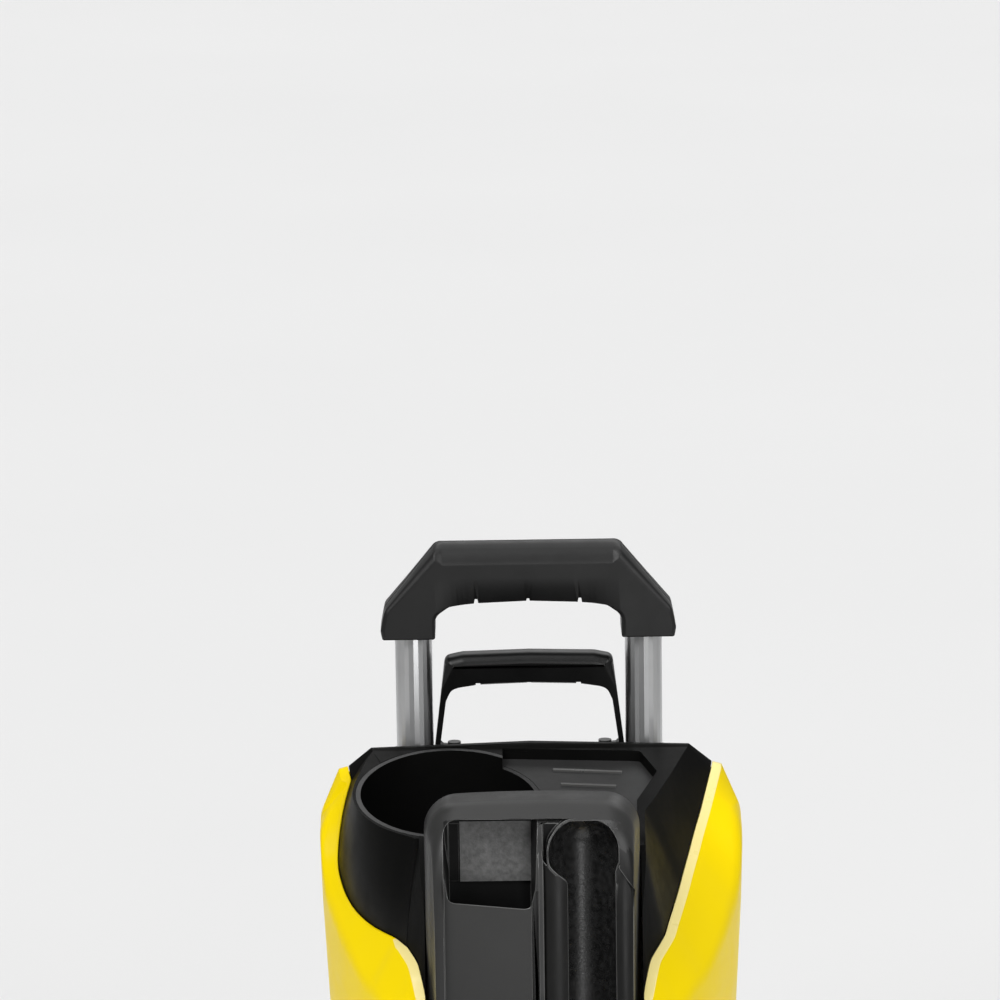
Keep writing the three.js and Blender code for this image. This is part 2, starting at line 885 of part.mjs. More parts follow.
function pumpHousing() {
  const block = latheZ(
    [
      [0, 60],
      [38, 60],
      [38, 163],
      [34, 167.6],
      [34, SPRING_FOOT - 0.3],
      [0, SPRING_FOOT - 0.3],
    ],
    24,
  );
  return [0, 1, 2].reduce((left, i) => {
    const [x, y] = pistonCentre(i);
    return left.subtract(moved(barZ(4.3, 50, 130, 12), x, y, 0));
  }, block);
}

function pumpHead() {
  const block = latheZ(
    [
      [0, 24],
      [32, 24],
      [36, 30],
      [36, 59.6],
      [0, 59.6],
    ],
    20,
  );
  const outletBoss = moved(barY(11, -48, 0, 12), 14, 0, 42);
  const inletBoss = moved(barY(11, -48, 0, 12), -14, 0, 42);
  return union(block, outletBoss, inletBoss);
}

// The pipes leave the pump head towards the front and rise to the ports behind the console.
const portPipe = (side, radius) =>
  pipe(
    [
      [PUMP_X + side * 14, PUMP_Y - 48.5, 42],
      [PUMP_X + side * 14, PUMP_Y - 62, 42],
      [PUMP_X * 0.5 + side * 30, -66, 56],
      [side * PORT_X, -84, 100],
      [side * PORT_X, -97, PORT_Z],
      [side * PORT_X, -111.4, PORT_Z],
    ],
    radius,
    12,
    6,
  );

const pressureSwitch = () =>
  union(box(36.4, 66, -16, 16, 30, 56), moved(barZ(5, 55, 62, 12), 52, 0, 0));

// ---- wheels -------------------------------------------------------------------------------------

// The wheels are drawn about their axle, which runs along X from the machine outwards.
const wheelRim = () =>
  union(
    latheX(
      [
        [AXLE_RADIUS + GAP, WHEEL_INNER - 5],
        [16, WHEEL_INNER - 5],
        [16, 128],
        [56, 128],
        [57, WHEEL_INNER + 1],
        [61.6, WHEEL_INNER + 1],
        [61.6, WHEEL_OUTER - 2],
        [57, WHEEL_OUTER - 2],
        [55, 134],
        [18, 132],
        [16, 145],
        [AXLE_RADIUS + GAP, 145],
      ],
      24,
    ),
    ...[0, 1, 2, 3, 4].map((i) => {
      const rib = new THREE.BoxGeometry(12, 4, 40);
      rib.translate(136, 0, 37);
      return solid(rib.rotateX((i * 2 * Math.PI) / 5));
    }),
  );

const tyre = () =>
  latheX(
    [
      [62, WHEEL_INNER],
      [70, WHEEL_INNER],
      [WHEEL_RADIUS, WHEEL_INNER + 5],
      [WHEEL_RADIUS, WHEEL_OUTER - 5],
      [70, WHEEL_OUTER],
      [62, WHEEL_OUTER],
    ],
    32,
  );

const hubCap = () =>
  latheX(
    [
      [0, 145.4],
      [16, 145.4],
      [20, 147],
      [19, 151],
      [12, 153],
      [0, 153],
    ],
    16,
  );

const stubAxle = () =>
  latheX(
    [
      [0, 98.8],
      [10, 98.8],
      [10, 103.6],
      [AXLE_RADIUS, 103.6],
      [AXLE_RADIUS, 145],
      [0, 145],
    ],
    12,
  );

// ---- handles ------------------------------------------------------------------------------------

const GRIP_OUTLINE = [
  [65.6, 580.5],
  [104, 532],
  [107, 518],
  [105.5, 511.5],
  [67.4, 511.5],
  [67.4, 530],
  [56, 535.5],
  [0, 539.2],
];

function gripHalf(y0, y1) {
  const right = GRIP_OUTLINE.slice(0, -1);
  const left = right.map(([x, z]) => [-x, z]).reverse();
  const ring = [...right, GRIP_OUTLINE[GRIP_OUTLINE.length - 1], ...left];
  const bar = prismY(ring, y0, y1, 5, 3);
  const notches = [-37.5, 0, 37.5].map((x) => box(x - 1.1, x + 1.1, 80, 150, 530, 546.5));
  const sockets = [-1, 1].map((side) =>
    moved(barZ(TUBE_RADIUS + GAP, 500, TUBE_TOP + GAP, 24), side * TUBE_X, TUBE_Y, 0),
  );
  const screws = [-1, 1].flatMap((side) => [
    moved(barY(2.3, 104, 140, 12), side * 50, 0, 556),
    moved(barY(4.6, 128, 140, 16), side * 50, 0, 556),
  ]);
  // Front and rear edges of the bar fall away in broad facets.
  const edge = prismX(
    [
      [92, 500],
      [92, 570],
      [100, 582],
      [124, 582],
      [132, 570],
      [132, 500],
    ],
    -120,
    120,
    3,
    2,
  );
  return [...notches, ...sockets, ...screws].reduce(
    (left2, cut) => left2.subtract(cut),
    bar.intersect(edge),
  );
}

const gripScrew = () =>
  latheY(
    [
      [0, 104.4],
      [2, 104.4],
      [2, 128.3],
      [4.2, 128.3],
      [4.2, 130.8],
      [0, 130.8],
    ],
    12,
  );

const handleTube = () => ringZ(TUBE_BORE, TUBE_RADIUS, TUBE_BOTTOM, TUBE_TOP, 24);

const tubePlug = () =>
  latheZ(
    [
      [0, TUBE_BOTTOM - 4],
      [13, TUBE_BOTTOM - 4],
      [13, TUBE_BOTTOM - GAP],
      [TUBE_BORE - GAP, TUBE_BOTTOM - GAP],
      [TUBE_BORE - 1, TUBE_BOTTOM + 16],
      [0, TUBE_BOTTOM + 16],
    ],
    16,
  );

const guideSleeve = () =>
  latheZ(
    [
      [TUBE_RADIUS + GAP, 300],
      [16.8, 300],
      [16.8, 422.4],
      [17.8, 422.4],
      [17.8, 424.6],
      [TUBE_RADIUS + GAP, 424.6],
    ],
    24,
  );

function carryHandle() {
  const right = [
    [47, 497],
    [59.5, 491],
    [64.2, 469],
    [69.3, 426],
    [69.3, 425.3],
    [64, 425.3],
    [62, 422.6],
    [47, 422.6],
    [47, 426.6],
    [63, 428],
    [64.6, 430],
    [58.7, 469],
    [56, 471.5],
    [40, 473.2],
  ];
  const left = right.map(([x, z]) => [-x, z]).reverse();
  const bow = prismY([[0, 498.2], ...right, [0, 474], ...left], 101, 123, 2.5, 2);
  const cuts = [
    ...[-37, 0, 36].map((x) => box(x - 1.1, x + 1.1, 90, 140, 470, 477)),
    ...[-1, 1].map((side) => moved(barZ(2.8, 410, 440, 12), side * 55, TUBE_Y, 0)),
  ];
  return cuts.reduce((whole, cut) => whole.subtract(cut), bow);
}

const handleScrew = () =>
  latheZ(
    [
      [0, 406],
      [2.4, 406],
      [2.4, 427.8],
      [4.8, 427.8],
      [4.8, 430.4],
      [0, 430.4],
    ],
    12,
  );

// ---- rear fittings ------------------------------------------------------------------------------

const cableGland = () =>
  latheY(
    [
      [4.5, 128],
      [7, 128],
      [7, HULL_REAR + GAP],
      [12, HULL_REAR + GAP],
      [12, 146],
      [8, 148],
      [6.4, 172],
      [4.5, 172],
    ],
    14,
  );

function cableHook() {
  const arm = prismX(
    [
      [HULL_REAR + GAP + 0.2, 344],
      [HULL_REAR + GAP + 0.2, 368],
      [146, 368],
      [170, 366],
      [172, 400],
      [178, 400],
      [180, 360],
      [168, 352],
      [146, 344],
    ],
    -13,
    13,
    4,
  );
  const pivot = moved(
    latheY([[0, 129], [8.5, 129], [8.5, 134.6], [6, 134.6], [6, 142], [0, 142]], 14),
    0,
    0,
    356,
  );
  return union(arm, pivot);
}

function hoseHolder() {
  const bracket = prismX(
    [
      [HULL_REAR + GAP + 0.2, 258],
      [HULL_REAR + GAP + 0.2, 290],
      [144, 290],
      [147, 272],
      [172, 272],
      [177, 302],
      [184, 302],
      [180, 262],
      [172, 258],
    ],
    -62,
    62,
    4,
  );
  const stems = [-1, 1].map((side) =>
    moved(
      latheY([[0, 129], [6.5, 132], [4, 134.8], [4, 142], [0, 142]], 12),
      side * 45,
      0,
      274,
    ),
  );
  return union(bracket, ...stems);
}

// ---- assembly -----------------------------------------------------------------------------------

function part(name, shape, material, x = 0, y = 0, z = 0) {
  const mesh = new THREE.Mesh(geometryOf(shape), material);
  mesh.name = name;
  mesh.position.set(x, y, z);
  return mesh;
}

function assembly(...children) {
  const made = new THREE.Group();
  made.add(...children);
  return made;
}

const sides = [
  ["left", -1],
  ["right", 1],
];

const rightShell = sideShell();
const body = assembly(
  part("top_cover", topCover(), black),
  part("bottle_well", bottleWell(), black),
  part("bottle_connector", bottleConnector(), grey, WELL_X, WELL_Y, 0),
  part("right_side_shell", rightShell, yellow),
  part("left_side_shell", mirrored(rightShell).subtract(bulgeClear), yellow),
  part("rear_cover", rearCover(), black),
  part("accessory_panel", accessoryPanel(), textured),
  part("pocket_pad", pocketPad(), padGrey),
  part("base_tray", baseTray(), black),
  part("front_console", frontConsole(), black),
  part("carry_handle", carryHandle(), gripBlack),
  part("cable_gland", cableGland(), rubber, 0, 0, 124),
  part("cable_hook", cableHook(), black),
  part("hose_holder", hoseHolder(), black),
  ...sides.flatMap(([side, sign]) => [
    part(side + "_front_foot", frontFoot(), rubber, sign * 46, -92, 0),
    part(side + "_guide_sleeve", guideSleeve(), grey, sign * TUBE_X, TUBE_Y, 0),
    part(side + "_carry_handle_screw", handleScrew(), steel, sign * 55, TUBE_Y, 0),
  ]),
);

const ports = assembly(
  part("switch_knob", switchKnob(), yellow, 0, 0, 122),
  part("switch_box", switchBox(), grey),
  part("outlet_body", outletBody(), brass, PORT_X, 0, PORT_Z),
  part("outlet_release_collar", releaseCollar(), yellow, PORT_X, 0, PORT_Z),
  part("inlet_connector", inletConnector(), black, -PORT_X, 0, PORT_Z),
  part("inlet_filter", inletFilter(), white, -PORT_X, 0, PORT_Z),
  part("high_pressure_pipe", portPipe(1, 5), steel),
  part("inlet_pipe", portPipe(-1, 5), rubber),
);

const pump = assembly(
  part("motor_housing", motorHousing(), grey),
  part("motor_rotor", motorRotor(), steel),
  part("upper_bearing", ringZ(4.3, 8, 285.3, 289.7, 20), steel),
  part("lower_bearing", ringZ(4.3, 8, 168.3, 172.7, 20), steel),
  part("swash_plate", swashPlate(), steel),
  part("pump_housing", pumpHousing(), aluminium),
  part("pump_head", pumpHead(), brass),
  part("pressure_switch", pressureSwitch(), grey),
  ...[0, 1, 2].flatMap((i) => [
    part("piston_" + (i + 1), piston(), steel, ...pistonCentre(i), 0),
    part("piston_spring_" + (i + 1), pistonSpring(), steel, ...pistonCentre(i), 0),
  ]),
);
pump.position.set(PUMP_X, PUMP_Y, 0);

const capacitor = part("capacitor", barZ(17, 180, 244, 24), white, -75, 62, 0);

const wheels = sides.map(([side, sign]) => {
  const wheel = assembly(
    part(side + "_wheel_rim", wheelRim(), black),
    part(side + "_tyre", tyre(), rubber),
    part(side + "_hub_cap", hubCap(), yellow),
    part(side + "_stub_axle", stubAxle(), steel),
  );
  wheel.position.set(0, WHEEL_Y, WHEEL_RADIUS);
  wheel.rotation.z = sign > 0 ? 0 : Math.PI;
  return wheel;
});

const handle = assembly(
  part("grip_front_shell", gripHalf(92, TUBE_Y - 0.2), gripBlack),
  part("grip_rear_shell", gripHalf(TUBE_Y + 0.2, 132), gripBlack),
  ...sides.flatMap(([side, sign]) => [
    part(side + "_grip_screw", gripScrew(), steel, sign * 50, 0, 556),
    part(side + "_handle_tube", handleTube(), aluminium, sign * TUBE_X, TUBE_Y, 0),
    part(side + "_tube_plug", tubePlug(), rubber, sign * TUBE_X, TUBE_Y, 0),
  ]),
);

const group = new THREE.Group();
group.name = "pressure_washer";
group.add(body, ports, pump, capacitor, ...wheels, handle);

export default group;
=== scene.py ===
"""The looks of an upright pressure washer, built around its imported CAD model. Lengths in metres."""
import bisect
import json
import math

import bmesh
import bpy
from mathutils import Matrix, Vector

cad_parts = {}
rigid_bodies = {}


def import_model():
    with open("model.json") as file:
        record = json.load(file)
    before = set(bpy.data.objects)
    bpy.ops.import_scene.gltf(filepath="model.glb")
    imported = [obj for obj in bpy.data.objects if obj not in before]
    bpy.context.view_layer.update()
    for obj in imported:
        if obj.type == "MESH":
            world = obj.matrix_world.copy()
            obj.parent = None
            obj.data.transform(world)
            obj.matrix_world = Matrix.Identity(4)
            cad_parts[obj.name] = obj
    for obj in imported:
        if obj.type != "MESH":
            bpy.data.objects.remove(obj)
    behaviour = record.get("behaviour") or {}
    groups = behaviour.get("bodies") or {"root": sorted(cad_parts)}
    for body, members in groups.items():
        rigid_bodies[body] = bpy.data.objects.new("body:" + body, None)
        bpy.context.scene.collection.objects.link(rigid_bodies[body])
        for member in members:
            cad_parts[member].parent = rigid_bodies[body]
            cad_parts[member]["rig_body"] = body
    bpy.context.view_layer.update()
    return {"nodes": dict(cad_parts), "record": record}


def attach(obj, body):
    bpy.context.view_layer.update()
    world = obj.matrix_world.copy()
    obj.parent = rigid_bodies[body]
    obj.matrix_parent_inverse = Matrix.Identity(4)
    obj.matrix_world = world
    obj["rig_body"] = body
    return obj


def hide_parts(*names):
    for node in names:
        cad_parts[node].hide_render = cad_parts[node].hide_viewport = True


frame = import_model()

NODES = frame["nodes"]
MM = 0.001

# ---- camera and light -----------------------------------------------------------------------------

CAMERA_PLACE = (-0.0192, -3.2679, 1.3285)
CAMERA_LENS = 172.15
CAMERA_TILT = 78.0
CAMERA_ROLL = -0.8
SKY = 0.27
STRIP_PLACE = (0.42, -2.6, 0.45)
STRIP_TARGET = (0.0, 0.1, 0.45)

scene = bpy.context.scene
camera_data = bpy.data.cameras.new("camera")
camera = bpy.data.objects.new("camera", camera_data)
scene.collection.objects.link(camera)
camera_data.sensor_width = 36.0
camera_data.lens = CAMERA_LENS
camera_data.clip_end = 50.0
camera.location = CAMERA_PLACE
tilt = Matrix.Rotation(math.radians(CAMERA_TILT), 4, "X")
roll = Matrix.Rotation(math.radians(CAMERA_ROLL), 4, "Z")
camera.matrix_world = Matrix.Translation(camera.location) @ tilt @ roll
scene.camera = camera
scene.view_settings.view_transform = "Standard"


def sun(name, azimuth, elevation, strength, spread):
    """Soft daylight-like light; azimuth 0 comes from the front, positive from the right."""
    data = bpy.data.lights.new(name, "SUN")
    data.energy = strength
    data.angle = math.radians(spread)
    lamp = bpy.data.objects.new(name, data)
    a, e = math.radians(azimuth), math.radians(elevation)
    source = Vector((math.sin(a) * math.cos(e), -math.cos(a) * math.cos(e), math.sin(e)))
    lamp.rotation_euler = source.to_track_quat("Z", "Y").to_euler()
    scene.collection.objects.link(lamp)


world = bpy.data.worlds.new("studio")
scene.world = world
world.use_nodes = True
sky = world.node_tree.nodes["Background"]
sky.inputs["Color"].default_value = (1, 1, 1, 1)
sky.inputs["Strength"].default_value = SKY

sun("key", -38, 42, 1.7, 34)
sun("fill", 44, 30, 1.0, 40)
sun("back", 172, 44, 0.75, 60)
sun("top", 0, 84, 0.55, 46)

strip_data = bpy.data.lights.new("strip", "AREA")
strip_data.shape = "RECTANGLE"
strip_data.size, strip_data.size_y = 0.34, 1.8
strip_data.energy = 10
strip = bpy.data.objects.new("strip", strip_data)
strip.location = STRIP_PLACE
strip.rotation_euler = (Vector(STRIP_TARGET) - strip.location).to_track_quat("-Z", "Y").to_euler()
scene.collection.objects.link(strip)

# ---- materials ------------------------------------------------------------------------------------


class Nodes:
    """A small builder for a material's node tree."""

    def __init__(self, name):
        self.material = bpy.data.materials.new(name)
        self.material.use_nodes = True
        self.tree = self.material.node_tree
        self.shader = self.tree.nodes["Principled BSDF"]
        self.place = self.tree.nodes.new("ShaderNodeTexCoord").outputs["Object"]

    def add(self, kind, inputs=(), **settings):
        node = self.tree.nodes.new(kind)
        for key, value in settings.items():
            setattr(node, key, value)
        for key, value in dict(inputs).items():
            self.set(node.inputs[key], value)
        return node

    def set(self, socket, value):
        if isinstance(value, bpy.types.NodeSocket):
            self.tree.links.new(value, socket)
        else:
            socket.default_value = value

    def noise(self, scale, detail=3.0, rough=0.5, vector=None):
        node = self.add(
            "ShaderNodeTexNoise",
            {"Vector": vector or self.place, "Scale": scale, "Detail": detail, "Roughness": rough},
        )
        return node.outputs["Fac"]

    def spread(self, value, low, high, start=0.3, end=0.7):
        node = self.add(
            "ShaderNodeMapRange",
            {"Value": value, "From Min": start, "From Max": end, "To Min": low, "To Max": high},
        )
        return node.outputs["Result"]

    def blend(self, factor, dark, light):
        node = self.add("ShaderNodeMix", data_type="RGBA")
        self.set(node.inputs[0], factor)
        self.set(node.inputs[6], (*dark, 1))
        self.set(node.inputs[7], (*light, 1))
        return node.outputs[2]

    def bump(self, height, strength, distance, normal=None):
        inputs = {"Height": height, "Strength": strength, "Distance": distance}
        if normal is not None:
            inputs["Normal"] = normal
        return self.add("ShaderNodeBump", inputs).outputs["Normal"]


def plastic(name, colour, rough, grain=2600.0, bump=0.12, vary=0.12, specular=0.5, cloud=9.0):
    """Moulded plastic: fine grain, slow roughness changes; cloud is how fine its colour changes."""
    n = Nodes(name)
    dark = tuple(c * (1 - vary) for c in colour)
    light = tuple(min(1.0, c * (1 + vary)) for c in colour)
    base = n.blend(n.spread(n.noise(cloud, 4.0), 0.0, 1.0), dark, light)
    n.set(n.shader.inputs["Base Color"], base)
    marks = n.noise(38.0, 6.0, 0.65)
    n.set(n.shader.inputs["Roughness"], n.spread(marks, rough * 0.85, rough * 1.18))
    n.shader.inputs["Specular IOR Level"].default_value = specular
    grain_height = n.noise(grain, 2.0, 0.6)
    wave = n.bump(n.noise(14.0, 2.0), 0.05, 0.004)
    n.set(n.shader.inputs["Normal"], n.bump(grain_height, bump, 0.0002, wave))
    return n.material


def rubber(name, colour, rough=0.8):
    """Rubber with dust in its pores."""
    n = Nodes(name)
    dust = n.spread(n.noise(60.0, 8.0, 0.7), 0.0, 1.0, 0.35, 0.75)
    pale = tuple(c * 1.9 + 0.01 for c in colour)
    n.set(n.shader.inputs["Base Color"], n.blend(dust, colour, pale))
    wear = n.spread(n.noise(25.0, 5.0), rough * 0.85, min(1.0, rough * 1.15))
    n.set(n.shader.inputs["Roughness"], wear)
    n.shader.inputs["Specular IOR Level"].default_value = 0.35
    n.set(n.shader.inputs["Normal"], n.bump(n.noise(900.0, 4.0, 0.7), 0.3, 0.0004))
    return n.material


def metal(name, colour, rough, stretch=(1.0, 1.0, 0.01), scale=1500.0, bump=0.08, drawn=0.0):
    """Metal with drawn or turned lines along the direction that stretch squeezes."""
    n = Nodes(name)
    mapping = n.add("ShaderNodeMapping", {"Vector": n.place, "Scale": stretch})
    lines = n.noise(scale, 2.0, 0.6, mapping.outputs["Vector"])
    cloud = n.noise(18.0, 4.0)
    dark = tuple(c * 0.86 for c in colour)
    n.set(n.shader.inputs["Base Color"], n.blend(n.spread(cloud, 0.0, 1.0), dark, colour))
    n.shader.inputs["Metallic"].default_value = 1.0
    n.set(n.shader.inputs["Roughness"], n.spread(lines, rough * 0.95, rough * 1.05))
    if drawn:
        n.shader.inputs["Anisotropic"].default_value = drawn
        n.shader.inputs["Anisotropic Rotation"].default_value = 0.25
        around = n.add("ShaderNodeTangent", direction_type="RADIAL", axis="Z")
        n.set(n.shader.inputs["Tangent"], around.outputs["Tangent"])
    n.set(n.shader.inputs["Normal"], n.bump(lines, bump, 0.0002))
    return n.material


YELLOW = plastic("yellow_plastic", (0.95, 0.705, 0.0), 0.36, 1800.0, 0.015, 0.01, 0.1)
BLACK = plastic("black_plastic", (0.0034, 0.0034, 0.0032), 0.44, bump=0.14, specular=0.06)
# Lighter black for up-facing faces of the tray floor and the well's lip: painted light from above.
PAINTED_TOP_LIGHT = plastic("painted_top_light_plastic", (0.026, 0.026, 0.026), 0.42, bump=0.2, specular=0.35)
# Darker black for the beads beside the channel's slot: painted shade on their flanks.
BEAD_PAINTED_SHADE = plastic("bead_painted_shade", (0.006, 0.006, 0.0058), 0.36, bump=0.15, specular=0.32)
PANEL = plastic("panel_plastic", (0.022, 0.022, 0.0215), 0.38, bump=0.2, specular=0.45)
CHANNEL_WALL = plastic("channel_plastic", (0.022, 0.022, 0.022), 0.26, 600.0, 0.6, 0.7, 0.8, 240.0)
# Darker black for the pocket and the space round the channel's head: painted shade.
POCKET_PAINTED_SHADE = plastic("shaded_plastic", (0.005, 0.005, 0.005), 0.5, specular=0.2)
# Lighter blacks for rounded edges and the tray ribs: painted highlights where the edges catch the
# light.
PAINTED_EDGE_HIGHLIGHT = plastic("black_edge_painted_highlight", (0.035, 0.035, 0.035), 0.3, specular=0.7)
PAINTED_PANEL_EDGE_HIGHLIGHT = plastic("panel_edge_painted_highlight", (0.075, 0.075, 0.073), 0.3, specular=0.8)
# Paler yellow on the seam chamfers: a painted highlight.
YELLOW_PAINTED_HIGHLIGHT = plastic("yellow_painted_highlight", (0.93, 0.79, 0.30), 0.3, 1800.0, 0.015, 0.01, 0.4)
GRIP = plastic("grip_plastic", (0.008, 0.008, 0.008), 0.42, bump=0.2, specular=0.38)
BOW_PLASTIC = plastic("handle_plastic", (0.0055, 0.0055, 0.0055), 0.32, bump=0.12, specular=0.35)
PAD = plastic("pad_plastic", (0.165, 0.165, 0.163), 0.42, 420.0, 1.0, 0.3, 0.6, 260.0)
BLACK_STEEL = plastic("blackened_steel", (0.02, 0.02, 0.02), 0.35, grain=400.0, bump=0.2)
GREY = plastic("grey_plastic", (0.16, 0.165, 0.17), 0.45)
WHITE = plastic("white_plastic", (0.7, 0.7, 0.67), 0.4, bump=0.05, vary=0.05)
RUBBER = rubber("black_rubber", (0.014, 0.014, 0.014))
TYRE = rubber("tyre_rubber", (0.018, 0.018, 0.018), 0.85)
ALUMINIUM = metal("anodised_aluminium", (0.68, 0.685, 0.69), 0.33, bump=0.003, drawn=0.75)
EVEN = (1.0, 1.0, 1.0)
STEEL = metal("plated_steel", (0.56, 0.57, 0.58), 0.32, stretch=EVEN, scale=300.0)
CASTING = metal("cast_alloy", (0.42, 0.43, 0.44), 0.55, stretch=EVEN, scale=500.0, bump=0.4)
BRASS = metal("machined_brass", (0.68, 0.52, 0.22), 0.3, stretch=(1.0, 0.02, 1.0))

SLOT_MATERIALS = {
    "yellow_shell": YELLOW,
    "yellow_trim": YELLOW,
    "cover_plastic": BLACK,
    "textured_plastic": PANEL,
    "pad_plastic": PAD,
    "grip_plastic": GRIP,
    "rubber_parts": RUBBER,
    "tyre_rubber": TYRE,
    "tube_aluminium": ALUMINIUM,
    "grey_plastic": GREY,
    "motor_casing": CASTING,
    "white_plastic": WHITE,
    "steel_parts": STEEL,
    "brass_parts": BRASS,
}
SLOT_OF = {s["node"]: s["material_slot"] for s in frame["record"]["subparts"]}
BODY_OF = {name: node["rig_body"] for name, node in NODES.items()}

# ---- driving sizes, in millimetres ----------------------------------------------------------------

BOTTOM = 88.0  # lower edge of the side shells
SKIN = 3.0  # wall thickness of the mouldings
HANDLE_Y = 112  # plane of the tubes, the grip and the carry handle
TUBE_X = 83.5
TUBE_SOCKET = 13.8
GRIP_FRONT, GRIP_REAR = 92, 132
GRIP_UNDER, GRIP_CREST = 535, 580.5
BOW_FRONT, BOW_REAR = 101, 123
WHEEL_Y, WHEEL_Z = 115, 75
ARCH_RADIUS = 81
LID_SLOPE = 0.22
WELL = (-58.4, 16.0)
WELL_RADIUS = 63
CHANNEL = (35.6, -95.0)
CHANNEL_RADIUS = 25
CHANNEL_TOP = 404

# ---- mesh tools, in millimetres -------------------------------------------------------------------


def smooth_table(table, xs):
    """Rows of numbers interpolated on their first column without overshooting."""
    keys = [row[0] for row in table]
    columns = list(zip(*table))[1:]
    slopes = []
    for column in columns:
        step = [(column[i + 1] - column[i]) / (keys[i + 1] - keys[i]) for i in range(len(keys) - 1)]
        inner = []
        for a, b in zip(step, step[1:]):
            inner.append(0.0 if a * b <= 0 else 2 * a * b / (a + b))
        slopes.append([step[0], *inner, step[-1]])
    result = []
    for x in xs:
        i = max(0, min(len(keys) - 2, sum(1 for k in keys[1:-1] if k <= x)))
        h = keys[i + 1] - keys[i]
        t = (x - keys[i]) / h
        row = [x]
        for column, slope in zip(columns, slopes):
            row.append(
                (2 * t**3 - 3 * t**2 + 1) * column[i]
                + (t**3 - 2 * t**2 + t) * h * slope[i]
                + (3 * t**2 - 2 * t**3) * column[i + 1]
                + (t**3 - t**2) * h * slope[i + 1]
            )
        result.append(row)
    return result


def fillet(points, radii, steps=5, closed=True):
    """A polygon with its corners rounded, each to its own radius."""
    count = len(points)
    ring = []
    for i, (point, radius) in enumerate(zip(points, radii)):
        here = Vector(point)
        if radius <= 0 or (not closed and i in (0, count - 1)):
            ring.append(tuple(here))
            continue
        back = Vector(points[i - 1]) - here
        on = Vector(points[(i + 1) % count]) - here
        half = back.angle(on) / 2
        reach = min(radius / math.tan(half), back.length * 0.49, on.length * 0.49)
        start = here + back.normalized() * reach
        end = here + on.normalized() * reach
        for s in range(steps + 1):
            t = s / steps
            ring.append(tuple(start * (1 - t) ** 2 + here * 2 * t * (1 - t) + end * t * t))
    return ring


def spline(points, steps):
    """A curve through points of any dimension, ends included."""
    out = []
    for i in range(len(points) - 1):
        p0 = Vector(points[max(i - 1, 0)])
        p1 = Vector(points[i])
        p2 = Vector(points[i + 1])
        p3 = Vector(points[min(i + 2, len(points) - 1)])
        for s in range(steps):
            t = s / steps
            bend = (2 * p0 - 5 * p1 + 4 * p2 - p3) * t * t
            twist = (3 * p1 - p0 - 3 * p2 + p3) * t**3
            out.append(tuple(0.5 * (2 * p1 + (p2 - p0) * t + bend + twist)))
    out.append(tuple(points[-1]))
    return out


def inset(ring, amount):
    """A closed outline drawn in, by an amount that may differ from point to point."""
    count = len(ring)
    area = sum(
        ring[i][0] * ring[(i + 1) % count][1] - ring[(i + 1) % count][0] * ring[i][1]
        for i in range(count)
    )
    turn = 1 if area > 0 else -1
    result = []
    for i, (x, z) in enumerate(ring):
        ax, az = ring[i - 1]
        bx, bz = ring[(i + 1) % count]
        along = Vector((bx - ax, bz - az)).normalized()
        step = amount(x, z) * turn
        result.append((x - along.y * step, z + along.x * step))
    return result


def body(name, verts, faces):
    """An object from millimetre coordinates, its faces all turned outwards."""
    mesh = bpy.data.meshes.new(name)
    mesh.from_pydata([tuple(c * MM for c in v) for v in verts], [], faces)
    bm = bmesh.new()
    bm.from_mesh(mesh)
    bmesh.ops.remove_doubles(bm, verts=bm.verts, dist=1e-7)
    bmesh.ops.recalc_face_normals(bm, faces=bm.faces)
    bm.to_mesh(mesh)
    bm.free()
    piece = bpy.data.objects.new(name, mesh)
    scene.collection.objects.link(piece)
    return piece


def loft(name, rings):
    """A closed solid through outlines with the same number of points."""
    count = len(rings[0])
    verts = [p for ring in rings for p in ring]
    faces = []
    for r in range(len(rings) - 1):
        for i in range(count):
            j = (i + 1) % count
            a = r * count
            faces.append((a + i, a + j, a + count + j, a + count + i))
    faces.append(tuple(range(count)))
    faces.append(tuple(range((len(rings) - 1) * count, len(rings) * count)))
    return body(name, verts, faces)


def sheet(name, rows):
    """An open surface through rows with the same number of points."""
    count = len(rows[0])
    verts = [p for row in rows for p in row]
    faces = [
        (r * count + i, r * count + i + 1, (r + 1) * count + i + 1, (r + 1) * count + i)
        for r in range(len(rows) - 1)
        for i in range(count - 1)
    ]
    return body(name, verts, faces)


def prism_z(name, ring, z0, z1):
    return loft(name, [[(x, y, z0) for x, y in ring], [(x, y, z1) for x, y in ring]])


def prism_y(name, ring, y0, y1):
    return loft(name, [[(x, y0, z) for x, z in ring], [(x, y1, z) for x, z in ring]])


def prism_x(name, ring, x0, x1):
    return loft(name, [[(x0, y, z) for y, z in ring], [(x1, y, z) for y, z in ring]])


def block(name, x0, x1, y0, y1, z0, z1):
    return prism_z(name, [(x0, y0), (x1, y0), (x1, y1), (x0, y1)], z0, z1)


def turned(name, profile, place, segments=48):
    """A closed profile of (radius, height) swept round an axis; place turns it into the model."""
    verts = []
    faces = []
    count = len(profile)
    for s in range(segments):
        a = 2 * math.pi * s / segments
        verts += [place(r * math.cos(a), r * math.sin(a), h) for r, h in profile]
    for s in range(segments):
        base, nxt = s * count, ((s + 1) % segments) * count
        for i in range(count):
            j = (i + 1) % count
            ring = (base + i, base + j, nxt + j, nxt + i)
            if profile[i][0] == 0 and profile[j][0] == 0:
                continue
            if profile[i][0] == 0:
                ring = (base + i, base + j, nxt + j)
            elif profile[j][0] == 0:
                ring = (base + i, base + j, nxt + i)
            faces.append(ring)
    return body(name, verts, faces)


def bar_z(name, x, y, r, z0, z1, segments=64):
    profile = [(0, z0), (r, z0), (r, z1), (0, z1)]
    return turned(name, profile, lambda u, v, h: (x + u, y + v, h), segments)


